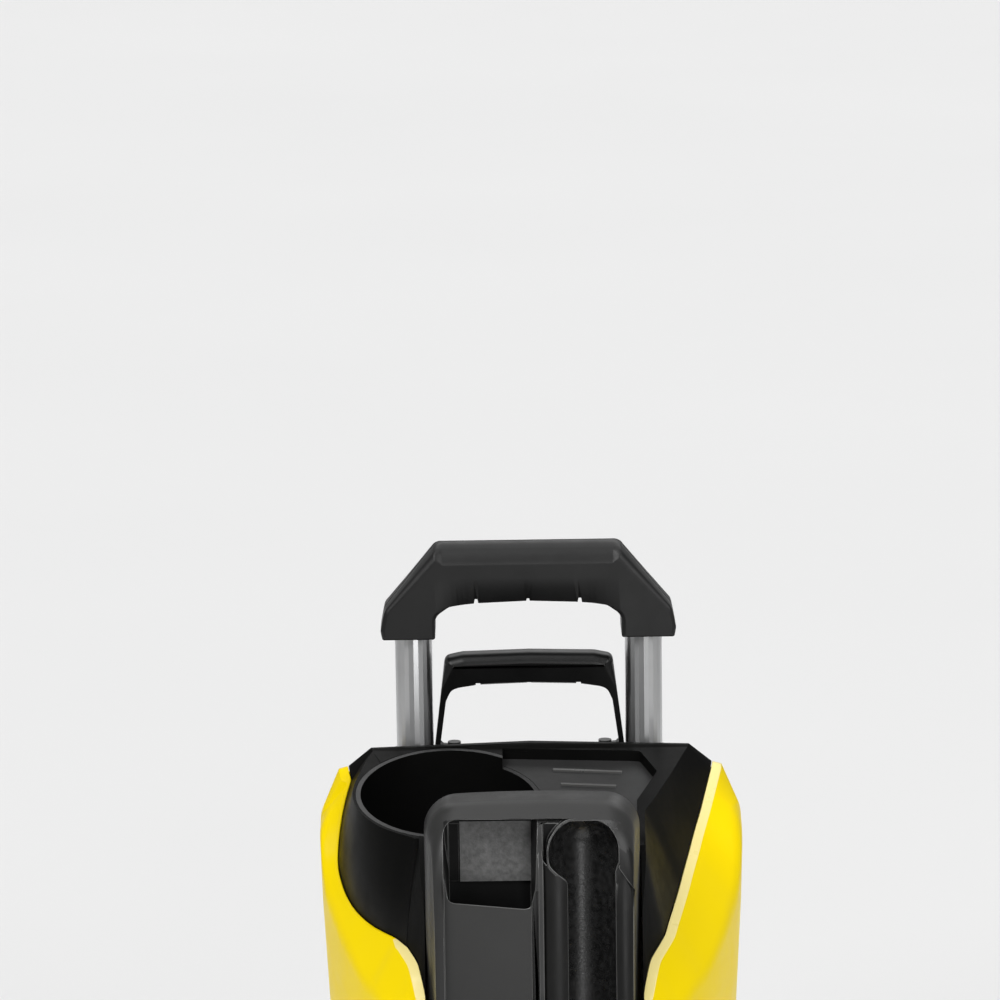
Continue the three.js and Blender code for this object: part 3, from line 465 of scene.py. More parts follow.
def bake(piece):
    """Replaces a piece's mesh by the result of its modifiers."""
    bpy.context.view_layer.update()
    graph = bpy.context.evaluated_depsgraph_get()
    mesh = bpy.data.meshes.new_from_object(piece.evaluated_get(graph))
    old = piece.data
    piece.modifiers.clear()
    piece.data = mesh
    mesh.name = piece.name
    bpy.data.meshes.remove(old)


def combine(piece, tool, operation, keep=False):
    step = piece.modifiers.new("step", "BOOLEAN")
    step.operation = operation
    step.solver = "MANIFOLD"
    step.object = tool
    bake(piece)
    if not keep:
        discard(tool)
    return piece


def discard(piece):
    mesh = piece.data
    bpy.data.objects.remove(piece)
    bpy.data.meshes.remove(mesh)


def cut(piece, tool, keep=False):
    return combine(piece, tool, "DIFFERENCE", keep)


def join(piece, tool):
    return combine(piece, tool, "UNION")


def common(piece, tool, keep=False):
    return combine(piece, tool, "INTERSECT", keep)


def flipped(piece, name):
    """The mirror image of a piece across the machine's middle plane."""
    mesh = piece.data.copy()
    mesh.name = name
    bm = bmesh.new()
    bm.from_mesh(mesh)
    bmesh.ops.transform(bm, matrix=Matrix.Scale(-1, 4, (1, 0, 0)), verts=bm.verts)
    bmesh.ops.reverse_faces(bm, faces=bm.faces)
    bm.to_mesh(mesh)
    bm.free()
    other = bpy.data.objects.new(name, mesh)
    scene.collection.objects.link(other)
    return other


def merge_facets(piece, angle):
    flat = piece.modifiers.new("merge_facets", "DECIMATE")
    flat.decimate_type = "DISSOLVE"
    flat.angle_limit = math.radians(angle)


def round_edges(piece, width, segments, angle):
    edge = piece.modifiers.new("round_edges", "BEVEL")
    edge.width = width * MM
    edge.segments = segments
    edge.limit_method = "ANGLE"
    edge.angle_limit = math.radians(angle)
    edge.harden_normals = True
    return edge


def coat(piece, materials):
    """Gives a piece its materials, the first one everywhere, and smooth shading."""
    piece.data.materials.clear()
    for material in materials:
        piece.data.materials.append(material)
    faces = piece.data.polygons
    faces.foreach_set("material_index", [0] * len(faces))
    faces.foreach_set("use_smooth", [True] * len(faces))


def dress(piece, node, materials, bevel=0.0, segments=3, flat=1.0, clamp=True):
    """Makes a finished piece stand in for a CAD node; rounded edges take the second material, a
    painted edge highlight.
    """
    coat(piece, materials)
    if bevel:
        merge_facets(piece, flat)
        weld = piece.modifiers.new("weld", "WELD")
        weld.merge_threshold = 0.12 * MM
        edge = round_edges(piece, bevel, segments, 30.0)
        edge.use_clamp_overlap = clamp
        edge.material = 1
    else:
        even = piece.modifiers.new("even_normals", "WEIGHTED_NORMAL")
        even.weight = 60
    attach(piece, BODY_OF[node])
    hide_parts(node)
    DONE.add(node)


def paint(piece, choose):
    """Gives faces another of the piece's materials; choose gets a face's middle and its normal."""
    materials = list(piece.data.materials)
    for face in piece.data.polygons:
        material = choose(*(c / MM for c in face.center), face.normal)
        if material:
            face.material_index = materials.index(material)


DONE = set()

# ---- hull -----------------------------------------------------------------------------------------

# Right half along Y: half width and height of the shoulder corner, the seam between cover and side
# shell (x, z), the edge of the lid (x, z), and the height of the middle.
STATIONS = [
    [-104, 82, 280, 73, 299, 70, 301, 302],
    [-100, 88.5, 282, 75, 305, 71, 312, 313],
    [-93, 95.5, 286, 78, 317, 73, 331, 332],
    [-85, 101.5, 290, 80.5, 324, 75, 350, 352],
    [-74, 109, 295, 86, 330, 77.5, 374, 377],
    [-62, 115.5, 299, 91.5, 335.5, 79, 395, 399],
    [-50, 121.6, 303, 94.5, 340.5, 79, 404.2, 404.2],
    [-33, 129, 312, 99, 348, 79.5, 408, 408],
    [-17, 135, 320, 103, 354.7, 80, 411.5, 411.5],
    [0, 140.6, 329, 107, 362.5, 86.3, 415.2, 415.2],
    [20, 146.3, 337, 112, 372, 93.5, 419.6, 419.6],
    [36, 149.9, 352, 116.2, 381.2, 99.4, 423.1, 423.1],
    [52, 152.3, 376, 121.3, 392, 104.7, 426.6, 426.6],
    [68, 153, 384, 126, 403.5, 110, 430.2, 430.2],
    [80, 153, 384, 129.5, 412.2, 114, 432.6, 432.8],
    [84, 153, 384, 130.7, 415.2, 114.8, 433.4, 436],
    [90, 153, 384, 131.8, 419, 115.2, 432.4, 436],
    [93.6, 152.6, 384, 131.4, 414, 114.5, 421.5, 423],
    [108, 150, 382, 128.5, 411, 112.5, 420.5, 422],
    [122, 145, 380, 124, 409, 109, 419.5, 421],
    [132, 137, 377, 117, 405, 103, 417, 419],
    [138, 125, 372, 106, 398, 94, 410, 412],
]
YS = sorted(
    {float(row[0]) for row in STATIONS}
    | {-104 + 3.0 * i for i in range(62)}
    | {82.0, 86.0, 88.0, 92.0, 100.0, 115.0, 127.0, 135.0}
)
YS = [y for i, y in enumerate(YS) if i == 0 or y - YS[i - 1] > 0.9 or y in {r[0] for r in STATIONS}]
DENSE = smooth_table(STATIONS, YS)


def hull_half(width, corner, seam_x, seam_z, lid_x, lid_z):
    side = corner - BOTTOM
    return [
        (width - 13, BOTTOM),
        (width - 6, BOTTOM + side * 0.52),
        (width - 1.5, BOTTOM + side * 0.84),
        (width, corner - 7),
        (width - 1.5 - (width - seam_x) * 0.1, corner + (seam_z - corner) * 0.15),
        (seam_x, seam_z),
        (lid_x, lid_z),
    ]


def hull_solid(name, skin=0.0):
    """The whole body inside its outer surface, drawn in by skin."""
    middle, length = 17.0, 242.0
    rings = []
    for y, width, corner, seam_x, seam_z, lid_x, lid_z, centre in DENSE:
        half = hull_half(width, corner, seam_x, seam_z, lid_x, lid_z)
        ring = half + [(0, centre)] + [(-x, z) for x, z in reversed(half)]
        if skin:
            y = middle + (y - middle) * (1 - 2 * skin / length)
            ring = [(x * (1 - skin / 140), z - skin) for x, z in ring]
        rings.append([(x, y, z) for x, z in ring])
    return loft(name, rings)


def side_region(name):
    """The space under the seam, which the side shell takes up."""
    rings = []
    for y, _, _, x, z, _, _, _ in DENSE:
        corners = [(x - 6.4, z - 4.8), (x + 64, z + 48), (240, z + 48), (240, 0), (x - 6.4, 0)]
        rings.append([(px, y, pz) for px, pz in corners])
    rings.insert(0, [(x, y - 20, z) for x, y, z in rings[0]])
    rings.append([(x, y + 20, z) for x, y, z in rings[-1]])
    return loft(name, rings)


def lid_z(y):
    return 435 - LID_SLOPE * (90 - y)


def on_lid(name, ring, low, high):
    """A prism standing on the lid's sloping plane."""
    return loft(name, [[(x, y, lid_z(y) + level) for x, y in ring] for level in (low, high)])


# The wall that rises out of the left shoulder round the bottle well: top edge (x, y) in the lid's
# plane and the seam point (x, y, z) below it.
SWELL = [
    [-113, 82.5, -129, 82, 412.5],
    [-116.5, 70, -131.5, 74, 406],
    [-119.5, 58, -134.5, 66, 396],
    [-122.5, 46, -137, 55, 384],
    [-125.3, 34, -138.6, 44, 370],
    [-126.8, 22, -138.2, 32, 358],
    [-126.6, 10, -134, 17, 347.5],
    [-123.5, -5, -128, 0, 341],
    [-117, -19, -121, -16, 337.5],
    [-107, -32.5, -113, -30, 335],
    [-95, -42, -104.5, -45, 334.6],
    [-86, -47.5, -96, -58, 334.2],
    [-82, -50.5, -89, -69, 332],
]
SWELL_CLOSE = [
    [-60, -50, -60, -64, 332],
    [0, 0, 0, 0, 331],
    [0, 50, 0, 50, 331],
    [-40, 78, -40, 78, 331],
    [-90, 80, -90, 80, 370],
]
SWELL_CURVE = spline(SWELL, 5)


def swell(name, factor, sink):
    """The swollen shoulder round the well, scaled about the well's axis and lowered by sink."""
    wall = SWELL_CURVE + SWELL_CLOSE

    def drawn(x, y, scale):
        return WELL[0] + (x - WELL[0]) * scale, WELL[1] + (y - WELL[1]) * scale

    top, seam, root = [], [], []
    for tx, ty, sx, sy, sz in wall:
        x, y = drawn(tx, ty, factor)
        top.append((x, y, lid_z(y) - sink))
        x, y = drawn(sx, sy, factor)
        seam.append((x, y, sz - sink * 0.5))
        x, y = drawn(sx, sy, factor * 0.86)
        root.append((x, y, sz - 40))
    middle = []
    for s, t in zip(seam, top):
        x, y = (s[0] + t[0]) / 2, (s[1] + t[1]) / 2
        out = Vector((x - WELL[0], y - WELL[1], 0)).normalized() * 1.2
        middle.append((x + out.x, y + out.y, (s[2] + t[2]) / 2))
    return loft(name, [root, seam, middle, top])


# Outlines seen from above: the tray's walls, the plate under it and the box behind the panel.
TRAY = [(-20, 80.6), (72, 75), (79.4, 73.7), (90.6, 43), (74.8, 0.3), (74.8, -70), (-20, -70)]
TRAY_FLOOR = [(-30, 83.5), (73, 78), (82, 76), (93.6, 43), (77.8, 0), (77.8, -61), (-30, -61)]
PANEL_SPACE = (-75.6, 75.6, -160, -61.7, 0, 500)


def tray_rib(name, x0, y0, x1, y1):
    along = Vector((x1 - x0, y1 - y0)).normalized()
    across = Vector((-along.y, along.x)) * 1.2
    ring = [
        (x0 - across.x, y0 - across.y),
        (x1 - across.x, y1 - across.y),
        (x1 + across.x, y1 + across.y),
        (x0 + across.x, y0 + across.y),
    ]
    return on_lid(name, ring, -9.4, -6.8)


def circle(x, y, r, segments=96):
    step = 2 * math.pi / segments
    return [(x + r * math.cos(i * step), y + r * math.sin(i * step)) for i in range(segments)]


hull = hull_solid("hull")
hull_inside = hull_solid("hull_inside", SKIN)
region = side_region("region")
region_left = flipped(region, "region_left")
bulge = swell("bulge", 1, 0.25)
bulge_inside = swell("bulge_inside", 1 - SKIN / 80, SKIN + 0.2)
join(bulge_inside, bar_z("well_bore", *WELL, 66.7, 200, 340, 96))

cover = hull.copy()
cover.data = hull.data.copy()
cover.name = "cover_moulding"
scene.collection.objects.link(cover)
cut(cover, hull_inside, keep=True)
cut(cover, region, keep=True)
cut(cover, region_left, keep=True)
cut(cover, bulge_inside, keep=True)
cut(bulge, bulge_inside)
cut(bulge, hull_inside, keep=True)
join(cover, bulge)
join(cover, on_lid("floor_plate", TRAY_FLOOR, -11, -2))
cut(cover, on_lid("tray_space", fillet(TRAY, [0, 0, 3, 4, 4, 0, 0]), -8, 32))
RIBS = [(16.3, 62.1, 65.8, 56.9), (21.6, 40.2, 60.9, 36)]
for rib in RIBS:
    join(cover, tray_rib("tray_rib", *rib))
cut(cover, on_lid("mouth", circle(*WELL, WELL_RADIUS + 3.7), -60, 30))
cut(cover, block("panel_space", *PANEL_SPACE))
cut(cover, block("behind", -200, 200, 93.7, 200, 0, 500))
dress(cover, "top_cover", (BLACK, PAINTED_EDGE_HIGHLIGHT, PAINTED_TOP_LIGHT, PAINTED_PANEL_EDGE_HIGHLIGHT), 0.9)


def cover_material(x, y, z, normal):
    depth = lid_z(y) - z
    for x0, y0, x1, y1 in RIBS:
        middle = y0 + (y1 - y0) * (x - x0) / (x1 - x0)
        # Painted highlight on the rib tops.
        if x0 - 2 < x < x1 + 2 and abs(y - middle) < 1.8 and depth < 7.9:
            return PAINTED_PANEL_EDGE_HIGHLIGHT
    # Painted top light on the up-facing tray floor.
    return PAINTED_TOP_LIGHT if normal.z > 0.9 and x > -25 and 5 < depth < 10 else None


paint(cover, cover_material)

# ---- side shells ----------------------------------------------------------------------------------

def shell_row(y, width, corner, start, band):
    """Half section of a side shell from its seam to its bottom edge."""
    x0, z0 = start
    x1, z1 = x0 + band * 0.97, z0 - band * 0.24
    side = corner - BOTTOM
    points = [
        (x0 - 0.1, z0 - 1.5),
        (x0 + 0.1, z0 - 0.5),
        (x0 + 0.6, z0),
        (x1, z1),
        (width, corner),
        (width - 1.2, BOTTOM + side * 0.84),
        (width - 6, BOTTOM + side * 0.5),
        (width - 13, BOTTOM),
    ]
    ring = fillet(points, [0, 0, 0, 1.2, 26, 90, 200, 0], 7, closed=False)
    return [(x, y, z) for x, z in ring]


def shell_rows(left):
    """Half sections from front to rear; the left seam follows the swollen shoulder."""
    ys = [y for y in YS if y <= 137]
    swell_seam = sorted((p[3], -p[2], p[4]) for p in SWELL_CURVE)
    rows = []
    for y, width, corner, seam_x, seam_z, _, _, _ in smooth_table(STATIONS, ys):
        start = (seam_x + 0.35, seam_z - 0.3)
        band = 7.0
        if left and -69 < y < 81:
            near = min(range(len(swell_seam) - 1), key=lambda i: abs(swell_seam[i][0] - y))
            lower = near if swell_seam[near][0] <= y else max(near - 1, 0)
            a, b = swell_seam[lower], swell_seam[lower + 1]
            t = (y - a[0]) / (b[0] - a[0]) if b[0] > a[0] else 0
            x = a[1] + (b[1] - a[1]) * t
            z = a[2] + (b[2] - a[2]) * t
            if x > start[0]:
                start = (x + 0.4, z - 0.2)
                band = 7.0 - 4.5 * min(1.0, max(0.0, (y + 69) / 10))
        rows.append(shell_row(y, width, corner, start, band))
    return rows


def shell(name, left):
    """A side shell on the right, its wall, its turned-in ends and its wheel arch."""
    rows = shell_rows(left)
    front = rows[0]
    rear = shell_row(138, 125, 372, (106.35, 397.7), 7.0)
    limit = 75.9

    def drawn(row, share, edge, y):
        return [(max(x, edge) * (1 - share) + edge * share, y, z) for x, _, z in row]

    tips = [drawn(front, share, limit, y) for share, y in ((1, -104), (0.35, -104), (0.1, -103.2))]
    tail = [drawn(rear, share, 99.9, y) for share, y in ((0.05, 137.6), (0.3, 138), (1, 138))]
    rows = [[(max(x, limit), y, z) for x, y, z in row] for row in rows[1:]]
    skin = sheet(name, tips + rows + tail)
    bm = bmesh.new()
    bm.from_mesh(skin.data)
    if sum(face.normal.x * face.calc_area() for face in bm.faces) < 0:
        bmesh.ops.reverse_faces(bm, faces=bm.faces)
    bm.to_mesh(skin.data)
    bm.free()
    thick = skin.modifiers.new("wall", "SOLIDIFY")
    thick.thickness = 2.6 * MM
    thick.offset = -1
    bake(skin)
    cut(skin, wheel_disc("arch_cut", ARCH_RADIUS, 104, 175))
    lining = wheel_disc("arch_lining", ARCH_RADIUS + SKIN, 109, 175)
    cut(lining, wheel_disc("arch_bore", ARCH_RADIUS, 100, 180))
    common(lining, hull, keep=True)
    common(lining, block("arch_limit", 0, 200, 0, 134, 92, 200))
    join(skin, lining)
    return skin


def wheel_disc(name, r, x0, x1):
    profile = [(0, x0), (r, x0), (r, x1), (0, x1)]
    return turned(name, profile, lambda u, v, h: (h, WHEEL_Y + u, WHEEL_Z + v), 96)


right_shell = shell("right_moulding", left=False)
left_mirror = shell("left_mirrored", left=True)
left_shell = flipped(left_mirror, "left_moulding")
discard(left_mirror)
dress(right_shell, "right_side_shell", (YELLOW, YELLOW_PAINTED_HIGHLIGHT))
dress(left_shell, "left_side_shell", (YELLOW, YELLOW_PAINTED_HIGHLIGHT))


def painted_seam_highlight(rows):
    """Picks out the chamfer along the seam, where it is wide enough to catch the light, and gives it
    the painted highlight.
    """
    depths = [row[0][1] for row in rows]

    def choose(x, y, z, normal):
        at = bisect.bisect(depths, y)
        near = rows[max(0, at - 2) : at + 2]
        wide = near[0][4][0] - near[0][2][0] > 3.4
        lowest = min(row[4][2] for row in near) - 1.2
        widest = max(row[4][0] for row in near) + 0.3
        shown = y > -103.5 and (x > 0 or y < 0)
        return YELLOW_PAINTED_HIGHLIGHT if wide and shown and abs(x) < widest and z > lowest else None

    return choose


# Painted highlight along the seam chamfers.
paint(right_shell, painted_seam_highlight(shell_rows(False)))
paint(left_shell, painted_seam_highlight(shell_rows(True)))

# ---- bottle well ----------------------------------------------------------------------------------

LIP_RADIUS = WELL_RADIUS + 3.4
well = bar_z("well_moulding", *WELL, WELL_RADIUS + 2.4, 297, 440, 96)
common(well, on_lid("below_lid", circle(*WELL, LIP_RADIUS), -160, -0.2))
join(well, on_lid("lip", circle(*WELL, LIP_RADIUS), -10, -0.2))
cut(well, bar_z("hollow", *WELL, WELL_RADIUS, 300, 460, 96))
cut(well, bar_z("drain", *WELL, 9.3, 280, 320, 48))
cut(well, on_lid("tray_notch", TRAY, -8.1, 32))
dress(well, "bottle_well", (BLACK, PAINTED_EDGE_HIGHLIGHT, PAINTED_TOP_LIGHT), 1.0)
# Painted top light on the well's up-facing lip.
paint(well, lambda x, y, z, normal: PAINTED_TOP_LIGHT if normal.z > 0.9 and z > 390 else None)

# ---- accessory panel ------------------------------------------------------------------------------

# Along Y: right half width, left half width, height of the top, radius of the top corners.
PANEL_STATIONS = [
    [-62, 74.4, 75.2, 436, 22],
    [-66, 74.6, 75.2, 439, 23],
    [-78, 73.2, 75.1, 439.5, 23],
    [-88, 71.8, 74.6, 439, 23],
    [-93, 71.2, 73.6, 437.6, 22],
    [-102, 70.4, 71.2, 431, 20],
    [-110, 69.6, 69.8, 422.5, 18],
    [-118, 68.8, 68.8, 404, 17],
    [-122, 68.3, 68.3, 372, 16],
    [-125, 68, 68, 310, 14],
]
PANEL_BOTTOM = 150.0
CROWN = 2.6
RECESS = 4.2
RIM = 1.4
BEADS = ((6.4, 24.8), (54.8, 69.3))


def panel_section(y, half, left, top, radius, skin, floor):
    """The panel's crowned outline in one plane, drawn in by skin."""
    t = top - skin
    r = max(radius - skin, 4)
    arc = [math.radians(a * 7.5) for a in range(13)]

    def side(width):
        h = width - skin
        curve = [(h - r + r * math.cos(a), t - r + r * math.sin(a)) for a in arc]
        flat = [((h - r) * k / 5, t) for k in (4, 3, 2, 1)]
        rounded = [(x, z + CROWN * (1 - (x / h) ** 2)) for x, z in curve + flat]
        return [(h, floor), *rounded]

    ring = side(half) + [(0, t + CROWN)] + [(-x, z) for x, z in reversed(side(left))]
    return [(x, y, z) for x, z in ring]


def panel_solid(name, back=0.0, skin=0.0, floor=PANEL_BOTTOM):
    """The panel's outer shape, moved back and drawn in by skin."""
    ys = [-125 + 1.5 * i for i in range(43)] + [-93.0, -88.0, -66.0, -102.0]
    table = smooth_table(sorted(PANEL_STATIONS), sorted(set(ys)))
    return loft(name, [panel_section(r[0] + back, *r[1:5], skin, floor) for r in table])


def dome(name, x, y, z, r):
    """A ball, for the round end of a bar."""
    arc = [math.radians(a) for a in range(-90, 91, 6)]
    profile = [(r * math.cos(a), z + r * math.sin(a)) for a in arc]
    profile = [(0, z - r), *profile[1:-1], (0, z + r)]
    return turned(name, profile, lambda u, v, h: (x + u, y + v, h), 64)


panel = panel_solid("panel_moulding")
solid_body = panel.copy()
solid_body.data = panel.data.copy()
scene.collection.objects.link(solid_body)
cut(panel, panel_solid("hollow_panel", 9.0, SKIN, PANEL_BOTTOM - 20))
walls = block("pocket_wall", -66, 3.2, -120, -66, 297, 437)
join(walls, bar_z("channel_wall", *CHANNEL, CHANNEL_RADIUS + SKIN, 100, CHANNEL_TOP))
join(walls, dome("channel_head", *CHANNEL, CHANNEL_TOP, CHANNEL_RADIUS + SKIN))
join(walls, block("channel_web", 7.6, 63.6, -135, -95, 100, 437))
rib_wall = [(-64, 150), (-64, 437), (-92, 437), (-107, 417), (-116, 400), (-118, 380), (-118, 150)]
join(walls, prism_x("rib", rib_wall, 3.2, 7.6))
common(walls, solid_body, keep=True)
join(panel, walls)

# The front is set back inside a raised frame, except for the half-round channel and the rib.
field = [
    (-61.6, 100),
    (-61.6, 431.6),
    (60.0, 431.6),
    (60.0, 405),
    (58.4, 400.4),
    (69.5, 384.5),
    (69.5, 100),
]
field_ring = fillet(field, [0, 11, 11, 6, 2, 3, 0], 6)
recess = prism_y("recess", field_ring, -160, -70)
cut(recess, panel_solid("recess_floor", RECESS, 0.0, 60))

# The channel opens to the front in a narrow slot with a wide head, which has a rim of its own.
keyhole = [
    (23.6, 100),
    (23.6, 391),
    (16.5, 397),
    (10.8, 402.5),
    (10.7, 417),
    (20, 430.2),
    (50, 430.2),
    (58.6, 418),
    (58.6, 404),
    (56.2, 397),
    (56.2, 100),
]
key_ring = fillet(keyhole, [0, 6, 5, 9, 17, 17, 17, 17, 9, 5, 0], 6)
rim_ring = inset(key_ring, lambda x, z: -RIM)
boss = common(prism_y("boss", rim_ring, -150, -80), block("head", 0, 80, -200, 0, 396, 440))
cut(boss, block("rim_end", 50, 80, -200, 0, 380, 402))
join(boss, block("corner", 45, 66, -150, -80, 402, 440))

# rounded beads on both sides of the slot
for x0, x1 in BEADS:
    middle, half = (x0 + x1) / 2, (x1 - x0) / 2
    arc = [math.radians(a) for a in range(0, 181, 12)]
    bead = [(middle + half * math.cos(a), -0.5 - 3.9 * math.sin(a)) for a in arc]
    tall = [(-112.4, 412), (-114, 402), (-116.2, 385), (-117.4, 372), (-120.3, 310), (-120.3, 100)]
    if x0 > CHANNEL[0]:
        tall[:3] = [(-109, 402), (-113, 388)]
    rings = [[(x, y + d, z) for x, d in [*bead, (x0, 20), (x1, 20)]] for y, z in tall]
    join(boss, loft("bead", rings))

# the rib between the pocket and the slot
rib_side = [
    (-50, 100),
    (-50, 425),
    (-96, 425),
    (-109, 417),
    (-118.4, 400),
    (-121.8, 380),
    (-124.5, 316),
    (-140, 250),
    (-140, 100),
]
join(boss, prism_x("rib_face", rib_side, 3.4, 6.8))
cut(recess, boss)
cut(panel, recess)

# The space round the head of the channel is deeper, so that the channel's rim stands free.
head = [(6.8, 405), (6.8, 440), (66, 440), (66, 402), (56, 398), (22, 396), (14, 399)]
hollow = prism_y("rim_hollow", fillet(head, [3, 0, 0, 0, 3, 3, 3], 4), -150, -103)
common(hollow, prism_y("field", field_ring, -160, -80))
cut(hollow, prism_y("rim", rim_ring, -160, -80))
cut(hollow, block("frame_corner", 45, 80, -170, -60, 390, 450))
cut(panel, hollow)

# pocket
pocket_front = [(-64, 436), (-62.6, 409), (-58.6, 377), (-1.9, 371.4), (1.2, 384), (3.4, 436)]
front_ring = fillet(pocket_front, [0, 14, 6, 6, 10, 0], 6)
back_ring = [(-60 + (x + 61.4) * 0.925, 425 + (z - 431.2) * 0.86) for x, z in front_ring]
pocket = loft(
    "pocket",
    [
        [(x, -140, z) for x, z in front_ring],
        [(x, -104, z) for x, z in front_ring],
        [(x, -71.2, z) for x, z in back_ring],
    ],
)
common(pocket, prism_y("pocket_limit", field_ring, -160, -60))
cut(panel, pocket)
deep = [(-70, 420), (-70, 378), (-68, 378), (-74, 301), (-115, 301), (-117, 374), (-117, 420)]
cut(panel, prism_x("pocket_depth", deep, -58.5, -1.2))

# groove between the pocket's front and the rib
cut(panel, block("groove", -1.2, 3.4, -140, -112, 100, 384))

# channel with its wide head and narrow slot
channel = bar_z("channel", *CHANNEL, CHANNEL_RADIUS, 100, CHANNEL_TOP)
join(channel, dome("channel_top", *CHANNEL, CHANNEL_TOP, CHANNEL_RADIUS))
join(channel, prism_y("keyhole", key_ring, -150, -95))
cut(panel, channel)
cut(panel, block("pad_seat", -51, -0.5, -70.5, -68, 378, 422))
cut(panel, block("panel_back", -90, 90, -62.3, 0, 100, 470))
discard(solid_body)
dress(
    panel,
    "accessory_panel",
    (PANEL, PAINTED_PANEL_EDGE_HIGHLIGHT, CHANNEL_WALL, POCKET_PAINTED_SHADE, BEAD_PAINTED_SHADE),
    0.5,
    segments=2,
    flat=0.2,
    clamp=False,
)


def panel_material(x, y, z, normal):
    reach = math.hypot(x - CHANNEL[0], y - CHANNEL[1])
    if reach < CHANNEL_RADIUS + 0.2 and z < 430:
        return CHANNEL_WALL
    # Painted shade in the pocket and in the hollow round the channel's head.
    in_pocket = -61.6 < x < 3.1 and 300 < z < 431 and -110 < y < -66
    in_hollow = 6.9 < x < 45 and 397 < z < 431 and -112 < y < -66
    if in_pocket or (in_hollow and (y > -104.5 or normal.y > -0.3)):
        return POCKET_PAINTED_SHADE
    # Painted shade on the beads beside the slot.
    on_bead = any(x0 - 0.1 < x < x1 + 0.1 for x0, x1 in BEADS)
    return BEAD_PAINTED_SHADE if on_bead and z < 412 and y < -111 else None


paint(panel, panel_material)

# ---- pull handle ----------------------------------------------------------------------------------

# Right half of the outline, from the end of the top edge round the tube's socket to the middle.
GRIP_HALF = [
    (65.6, GRIP_CREST),
    (104.2, 532),
    (107, 518),
    (105.8, 511.5),
    (67.4, 511.5),
    (67.2, 528),
    (57, 535.2),
    (36, 537.6),
    (0, 539.4),
]
GRIP_RADII = [9, 9, 6, 2.5, 2, 9, 9, 20, 0]
# Height of the bar's top along its depth.
GRIP_SIDE = [
    (92.8, 558),
    (96, 570),
    (101.5, 577.8),
    (107, GRIP_CREST),
    (114, 579.6),
    (124, 574),
    (130.5, 563),
]


def smooth_step(value, start, end):
    share = min(1.0, max(0.0, (value - start) / (end - start)))
    return share * share * (3 - 2 * share)


def rounded_bar(name, ring, depths, amount, settle):
    """Outlines stacked from front to rear, drawn in near both faces; settle moves each point."""
    rings = []
    for y in depths:
        drawn = inset(ring, lambda x, z, at=y: amount(at, z))
        rings.append([settle(x, y, z) for x, z in drawn])
    return loft(name, rings)


def quarter(distance, radius):
    """How far a rounded edge has fallen back at a distance from the face it runs into."""
    if distance >= radius:
        return 0.0
    return radius - math.sqrt(max(0.0, radius**2 - (radius - distance) ** 2))


def depth_steps(y0, y1, radius):
    """Depths between two faces, close together near both of them."""
    near = [radius * (1 - math.cos(math.radians(a))) for a in range(0, 91, 9)]
    middle = [y0 + radius + (y1 - y0 - 2 * radius) * k / 8 for k in range(1, 8)]
    return [y0 + d for d in near] + middle + [y1 - d for d in reversed(near)]


GRIP_TOP = sorted([y, z] for y, z in GRIP_SIDE)
GRIP_TOP_AT = {}


def grip_settle(x, y, z):
    """Lowers the top of the bar toward its faces, but not over the slanted ends."""
    if y not in GRIP_TOP_AT:
        inside = min(max(y, GRIP_TOP[0][0]), GRIP_TOP[-1][0])
        GRIP_TOP_AT[y] = min(smooth_table(GRIP_TOP, [inside])[0][1], GRIP_CREST)
    if z < GRIP_UNDER:
        return x, y, z
    tall = GRIP_CREST - GRIP_UNDER
    fall = (GRIP_CREST - GRIP_TOP_AT[y]) * (1 - smooth_step(abs(x), 46, 78))
    return x, y, GRIP_UNDER + (z - GRIP_UNDER) * (tall - fall) / tall


def grip_body(name):
    half = GRIP_HALF[:-1]
    points = [*half, GRIP_HALF[-1], *[(-x, z) for x, z in reversed(half)]]
    radii = [*GRIP_RADII[:-1], 0, *reversed(GRIP_RADII[:-1])]
    ring = fillet(points, radii, 7)

    def amount(y, z):
        edge = min(y - GRIP_FRONT, GRIP_REAR - y)
        return quarter(edge, 3.4 if z > 513 else 1.2)

    return rounded_bar(name, ring, depth_steps(GRIP_FRONT, GRIP_REAR, 7), amount, grip_settle)


def grip_wedge(name):
    """The space in front of the bar's lower half, which leans back between the ends."""
    rings = []
    for i in range(45):
        x = -72 + 144 * i / 44
        depth = 6.3 * (1 - smooth_step(abs(x), 44, 70)) - 0.3
        back = GRIP_FRONT + depth
        side = [(70, 557), (GRIP_FRONT, 557), (back, GRIP_UNDER), (back, 520), (70, 520)]
        rings.append([(x, y, z) for y, z in side])
    return loft(name, rings)


def grip_half(name, y0, y1):
    """One shell of the grip, with its finger nicks, tube sockets and screw holes."""
    grip = grip_body(name)
    cut(grip, grip_wedge("wedge"))
    for x in (-37.5, 0, 37.5):
        notch = [(x - 3.0, 530), (x - 0.9, 540.4), (x + 0.9, 540.4), (x + 3.0, 530)]
        cut(grip, prism_y("nick", notch, 80, 150))
        cut(grip, block("groove", x - 0.8, x + 0.8, 80, GRIP_FRONT + 1.4, 530, 549))
        cut(grip, block("groove", x - 0.8, x + 0.8, GRIP_REAR - 1.4, 150, 530, 549))
    for sign in (-1, 1):
        cut(grip, bar_z("socket", sign * TUBE_X, HANDLE_Y, TUBE_SOCKET, 500, 532.3))
        for radius, start in ((SCREW_SHANK, 104), (SCREW_HEAD, 128)):
            profile = [(0, start), (radius, start), (radius, 140), (0, 140)]
            cut(grip, turned("hole", profile, lambda u, v, h: (sign * 50 + u, h, 556 + v), 32))
    common(grip, block("half", -200, 200, y0, y1, 400, 700))
    return grip


